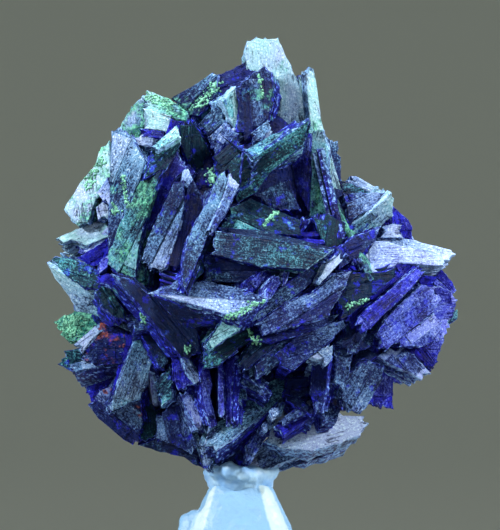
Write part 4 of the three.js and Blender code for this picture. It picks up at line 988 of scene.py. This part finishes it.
    "nook_leaf_a": (11, 0.3, 0.4, 1.3, (5, 0, 0, 0), ((15.4, 38.2), (16.4, 41.2), (17.7, 42.4),
        (19.8, 40.6), (17.2, 39))),
    "nook_leaf_b": (14, 0.2, 0.3, 1.2, (25, 0, 10, 0), ((13.6, 42.2), (15.3, 44.6), (17.8, 44.4),
        (19.4, 43.4), (18.4, 42), (16.5, 41), (15, 40.8))),
    "nook_cap": (16, 0.2, 0.5, 1.2, (60, 0, 0, 0), ((9.8, 40.4), (12.2, 42.4), (13, 42.2),
        (12.8, 40.2), (12, 39.4))),
    "nook_dark": (13, 0.3, 0.1, 1.4, (8, 30, 10, 0), ((14.6, 47.2), (17, 45), (19.8, 46.2),
        (20.2, 44.2), (17.4, 43), (14.6, 43.4))),
    "low_chip_a": (12, 0.2, 0.4, 1.2, (30, -20, 0, 0), ((10.9, 33.2), (12.6, 34.2), (14.2, 33),
        (13.6, 31.4), (11.6, 31.2))),
    "low_rib_a": (12, 0.15, 0.4, 1.2, (12, -80, 0, 0), ((4.7, 30.6), (10.4, 33.6), (11, 32.3),
        (8.4, 30.8), (6, 29.2))),
    "low_rib_b": (13, 0.15, 0.3, 1, (30, -20, 0, 0), ((5.4, 31.4), (9, 34.2), (10.4, 33.6),
        (10, 32.6), (6, 30.8))),
    "low_cross": (13, 0.1, 0.6, 0.9, (12, 0, 0, 0), ((6.2, 35.2), (7.2, 35.4), (10.6, 32.8),
        (10, 32.2), (6.4, 34.2))),
    "low_cross_b": (12, 0.2, 0.5, 1.2, (12, 0, 0, 0), ((6.4, 37.4), (9.6, 37.6), (10.2, 35.4),
        (8, 34.2), (6, 35.2))),
}
FRONT_SPLIT = 50
FRONT_PLATE = 1.0
FRONT_STEP = 0.2
BACK_THICKNESS = (0.3, 0.6)
BACK_GAP = (0.15, 0.7)
BACK_SLIDE = (0.15, 0.75)
ROOT_THICKNESS = (1.2, 2.4)
EDGE_SHARE = 0.72


def front_crystal(depth, right, up, thickness, look, outline):
    """The leaves of a row's crystal, with thin plates behind it and thick ones at its root."""
    flat = [Vector(point) for point in outline]
    centre = sum(flat, Vector((0, 0))) / len(flat)
    normal = Vector((right, -1, up)).normalized()
    seat = Seat(Vector((0, -depth - right * centre.x - up * centre.y, 0)),
                Vector((1, right, 0)), Vector((0, up, 1)), normal)
    size = math.sqrt(abs(area(flat)))
    room = depth - core_depth(centre.x, centre.y)
    along = longest(flat)
    slide = Vector((-along.y, along.x))
    outer = centre - Vector(MIDDLE)
    if slide.dot(outer) > 0:
        slide = -slide
    if outer.length > EDGE_SHARE * reach(outer.x / outer.length, outer.y / outer.length):
        slide *= 0.2
    plate = min(thickness, FRONT_PLATE)
    backs, shift, height = [], 0, -plate
    for k in range(4 if size > 3.5 else 2):
        shift += draw.uniform(*BACK_SLIDE) * min(1, size / 5)
        thick = draw.uniform(*BACK_THICKNESS)
        height -= draw.uniform(*BACK_GAP)
        backs.append((height, thick, draw.uniform(0.92, 1.0), slide * shift))
        height -= thick
    height, share = -plate * 0.6, 0.93
    while height > -room - 1 and share > 0.6:
        thick = draw.uniform(*ROOT_THICKNESS)
        backs.append((height, thick + 0.3, share, slide * 0.2))
        height -= thick
        share -= draw.uniform(0.03, 0.08)
    width = 1.3 if size < 4 else 2.0 if size < 7 else 2.8
    if look[0] > 70:
        width *= 3
    return book(flat, seat, plate, look, outer, width, FRONT_STEP, backs, 1 if size < 4 else 3)


upper, lower = [], []
for row in CRYSTALS.values():
    height = sum(z for x, z in row[-1]) / len(row[-1])
    (upper if height > FRONT_SPLIT else lower).extend(front_crystal(*row))
grown = [grow("upper_front_crystals", upper), grow("lower_front_crystals", lower)]


# The crystals of the sides and the back: plates of the same kind that lean out of the heart, large
# ones and small ones between them. A row is how many directions there are all round, how far in
# front they start, and their least and most length, width, thickness and share of the reach.
LARGE_CRYSTALS = (72, -0.32, (13, 19), (6, 10), (1.1, 2.1), (0.87, 0.93))
SMALL_CRYSTALS = (260, -0.25, (8, 14), (3, 7), (0.8, 1.6), (0.84, 0.88))
SLANT = (0.6, 0.95)
ROLL = (-0.9, 0.9)
ROOT_SHARE = 0.74
WALL_PAGE = 0.6
WALL_STEP = 0.18
WIDE = 5
GOLDEN = math.pi * (3 - math.sqrt(5))
state = 20011


def lot():
    """A share from 0 to 1 in a fixed series."""
    global state
    state = state * 16807 % 2147483647
    return state / 2147483647


def between(pair):
    return pair[0] + (pair[1] - pair[0]) * lot()


def across(out):
    """A chance direction square to another."""
    spin = Vector((lot() - 0.5, lot() - 0.5, lot() - 0.5))
    return (spin - out * spin.dot(out)).normalized()


def wall_crystal(out, length, width, thickness, tips, look):
    """The leaves of a crystal that ends at the form in a direction and leans to one side."""
    spin = across(out)
    turned = Matrix.Rotation(between(SLANT), 3, spin) @ out
    flatness = min(1, abs(out.y) * 2)
    tip = on_form(out, tips[0] + (tips[1] - tips[0]) * flatness)
    axis = (tip - on_form(turned, ROOT_SHARE)).normalized()
    length, width, thickness = between(length), between(width), between(thickness)
    face = (out - axis * out.dot(axis)).normalized()
    face = Matrix.Rotation(between(ROLL), 3, axis) @ face
    side = face.cross(axis)
    flat = [Vector(point) for point in (
        (-length, -0.35 * width),
        (-length * between((0.15, 0.4)), -0.5 * width),
        (0, between((-0.3, 0.2)) * width),
        (-0.2 * length, 0.5 * width),
        (-length, 0.35 * width),
    )]
    pages = max(2, round(thickness / WALL_PAGE))
    slide = Vector((0, draw.uniform(-0.3, 0.3)))
    backs = [(-thickness * 1.2 * k / pages, thickness / pages * draw.uniform(0.6, 1.1),
              draw.uniform(0.9, 1.0), slide * k) for k in range(1, pages)]
    return book(flat, Seat(tip, axis, side, face), thickness / pages, look, Vector((1, 0)),
                2.4 if width > WIDE else 1.6, WALL_STEP, backs, 3 if width > WIDE else 1)


def spiral(count):
    """Even directions all round, from the top down."""
    for k in range(count):
        up = 1 - (2 * k + 1) / count
        ring = math.sqrt(1 - up * up)
        yield Vector((math.cos(GOLDEN * k) * ring, math.sin(GOLDEN * k) * ring, up))


def wild_look(out):
    """A finish that drifts over the form: teal and greener above, violet and bluer below."""
    drift = noise.noise(out * 1.7 + Vector((3, 1, 7)))
    tone = 34 + 60 * drift + draw.uniform(-22, 22)
    if draw.random() < 0.1:
        tone += 35
    teal = 55 * out.z - 30 + 70 * noise.noise(out * 1.3 + Vector((9, 4, 2)))
    teal += draw.uniform(-25, 25)
    green = max(0, 90 * noise.noise(out * 2.2 + Vector((1, 8, 5))) - 8 + 14 * out.z)
    return (max(3, min(92, tone)), max(-100, min(70, teal)), green,
            draw.choice((0, 0, 0, 0, 0, 12)))


def wall(count, start, *sizes):
    """The leaves of the crystals above the middle, and of those below it."""
    upper, lower = [], []
    for out in spiral(count):
        if out.y > start:
            (upper if out.z > 0 else lower).extend(wall_crystal(out, *sizes, wild_look(out)))
    return upper, lower


upper, lower = wall(*LARGE_CRYSTALS)
grown.append(grow("wall_crystals", upper + lower))
upper, lower = wall(*SMALL_CRYSTALS)
grown += [grow("upper_small_crystals", upper), grow("lower_small_crystals", lower)]


# The heart's finish: the same azurite as the crystals' faces, but bare and dark: its low frost
# paints the shade that falls between the crystals.
HEART_SHADED_LOOK = {"frost_and_sheen": 0.05, "teal": -0.2, "malachite": 0.05, "rust": 0.1, "page": 0.5}
clear()
heart.data.materials.append(crystal_face)
for word, share in HEART_SHADED_LOOK.items():
    amount = heart.data.attributes.new(word, "FLOAT", "FACE")
    amount.data.foreach_set("value", [share] * len(heart.data.polygons))
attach(heart, "root")
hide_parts("azurite_cluster")


# The malachite: small, matt green balls grown in crusts along the crystals' ridges and in nests
# between them. A row is a crust's two ends seen from the front, how far it spreads from the line
# between them, and how many balls are set on it.
CRUSTS = (
    ((-24.9, 43.9), (-23.4, 45.5), 1.7, 200), ((-4.4, 66.4), (-4.0, 65.2), 0.8, 60),
    ((5.2, 61), (3.3, 58.9), 0.4, 50), ((-7.8, 41.7), (-7.2, 41.2), 0.45, 30),
    ((-16.7, 66), (-16, 61.5), 0.3, 70), ((-17.9, 61.5), (-17.6, 60.8), 0.5, 40),
    ((-2.3, 45.8), (3.4, 48.3), 0.45, 110), ((1.0, 44.0), (2.6, 42.4), 0.5, 50),
    ((14.9, 47.5), (17.9, 48.4), 0.35, 50), ((-13.9, 46.1), (-13.4, 45.2), 0.4, 30),
    ((-3.2, 79.2), (-6.2, 75.8), 0.8, 110), ((-13.7, 77.4), (-9.6, 75.8), 0.8, 100),
    ((-19.7, 68.6), (-22, 64.5), 0.8, 110), ((2.6, 80.3), (3, 77.1), 0.3, 25),
)
BALL_SIZES = (0.07, 0.21)
IN_FRONT = -60
BALL_DENTS = ((2500, 0.06, 2),)
BALL_DARK, BALL_GREEN = (0.006, 0.08, 0.055), (0.13, 0.38, 0.26)
clear()
bpy.ops.mesh.primitive_ico_sphere_add(subdivisions=2, radius=MM)
ball = bpy.context.object
trees = [BVHTree.FromObject(piece, bpy.context.evaluated_depsgraph_get())
         for piece in [*grown, heart]]
balls = []
for first, last, spread, count in CRUSTS:
    for k in range(count):
        middle = Vector(first).lerp(Vector(last), draw.random())
        x, z = middle + Vector((draw.gauss(0, 0.5), draw.gauss(0, 0.5))) * spread
        start = Vector((x, IN_FRONT, z)) * MM
        hits = [tree.ray_cast(start, Vector((0, 1, 0))) for tree in trees]
        hits = [hit[0] for hit in hits if hit[0] is not None]
        if not hits:
            continue
        spot = min(hits, key=lambda hit: hit.y)
        copy = ball.copy()
        copy.data = ball.data.copy()
        bpy.context.collection.objects.link(copy)
        copy.location = spot
        copy.scale = [draw.uniform(*BALL_SIZES)] * 3
        balls.append(copy)
join(balls)
crust = settle(balls[0], "malachite_crust")
bpy.data.objects.remove(ball)
weather(crust, BALL_DENTS)
bpy.ops.object.shade_smooth()
malachite, tree, shader = finish("malachite", Roughness=0.7)
place = object_place(tree)
feed(tree, shader,
     Base_Color=blend(tree, grain(tree, place, 1100, 3).above(0.35, 0.65), BALL_DARK, BALL_GREEN),
     Normal=relief(tree, grain(tree, place, 2500), 0.00015))
crust.data.materials.clear()
crust.data.materials.append(malachite)
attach(crust, "root")
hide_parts("azurite_cluster")


# The floor and the wall round it: one plain paper sheet that curves up far from the specimen. It
# is a middle grey under the specimen and pale further out. Each bend is a radius and a rise.
SHEET_BENDS = ((1.5, 0.03), (2.1, 0.16), (2.6, 0.34), (2.9, 0.5), (3.0, 0.6), (3.0, 1.6))
PAPER_GREY, PAPER_PALE = (0.26, 0.27, 0.25), (0.80, 0.83, 0.74)
clear()
bpy.ops.mesh.primitive_circle_add(vertices=96, radius=1.0, fill_type="NGON")
sheet = bpy.context.object
sheet.name = "studio_sheet"
edit()
bpy.ops.mesh.select_mode(type="EDGE")
bpy.ops.mesh.select_all(action="SELECT")
wide = 1.0
for out, rise in SHEET_BENDS:
    bpy.ops.mesh.extrude_edges_move(TRANSFORM_OT_translate={"value": (0, 0, rise)})
    bpy.ops.transform.resize(value=(out / wide, out / wide, 1))
    wide = out
edit("OBJECT")
bpy.ops.object.shade_smooth()
paper, tree, shader = finish("pale_paper", Roughness=0.9, Specular_IOR_Level=0.1)
place = object_place(tree)
flat = node(tree, "VectorMath", {"operation": "MULTIPLY"}, {0: place, 1: (1, 1, 0)})
away = node(tree, "VectorMath", {"operation": "LENGTH"}, {0: flat}, 1)
feed(tree, shader, Base_Color=blend(tree, away.above(0.05, 0.4), PAPER_GREY, PAPER_PALE))
sheet.data.materials.append(paper)


# The light: a soft lamp on either side and one overhead, weaker ones in front and behind, all
# aimed at the cluster, and an even sky that lights the paper. A row is a lamp's place in metres,
# its width and its power.
LAMPS = {"left_lamp": ((-0.42, -0.26, 0.30), 0.12, 0.29),
         "right_lamp": ((0.46, -0.16, 0.24), 0.12, 0.27),
         "top_lamp": ((0.0, -0.05, 0.55), 0.16, 0.36),
         "front_lamp": ((0.05, -0.75, 0.2), 0.3, 0.08),
         "back_lamp": ((0.1, 0.5, 0.4), 0.3, 0.18)}
LAMP_AIM = Vector((0, 0, 0.055))
LAMP_SPREAD = 36
SKY_COLOUR = (0.9, 0.95, 1, 1)
SKY_STRENGTH = 0.25
for name, (spot, size, power) in LAMPS.items():
    light = bpy.data.lights.new(name, "AREA")
    light.shape = "DISK"
    light.size = size
    light.energy = power
    light.spread = math.radians(LAMP_SPREAD)
    lamp = bpy.data.objects.new(name, light)
    bpy.context.collection.objects.link(lamp)
    lamp.location = spot
    lamp.rotation_euler = (LAMP_AIM - Vector(spot)).to_track_quat("-Z", "Y").to_euler()
world = bpy.data.worlds.new("sky")
bpy.context.scene.world = world
world.use_nodes = True
sky = world.node_tree.nodes["Background"]
sky.inputs["Color"].default_value = SKY_COLOUR
sky.inputs["Strength"].default_value = SKY_STRENGTH


# The camera: level with the middle of the cluster, a metre off, so that 7 pixels are 1 mm. The
# deep blues are shown as they are, with no film curve.
FRAME_HEIGHT = 75.714
CAMERA_AWAY = 1000
CAMERA_RIGHT = 1.286
CAMERA_UP = 53.286
SENSOR = 36
eye = bpy.data.cameras.new("camera")
eye.sensor_width = SENSOR
eye.lens = SENSOR * CAMERA_AWAY / FRAME_HEIGHT
eye.clip_start, eye.clip_end = 0.05, 10
camera = bpy.data.objects.new("camera", eye)
bpy.context.collection.objects.link(camera)
camera.location = (CAMERA_RIGHT * MM, -CAMERA_AWAY * MM, CAMERA_UP * MM)
camera.rotation_euler = (math.pi / 2, 0, 0)
bpy.context.scene.camera = camera
bpy.context.scene.view_settings.view_transform = "Standard"
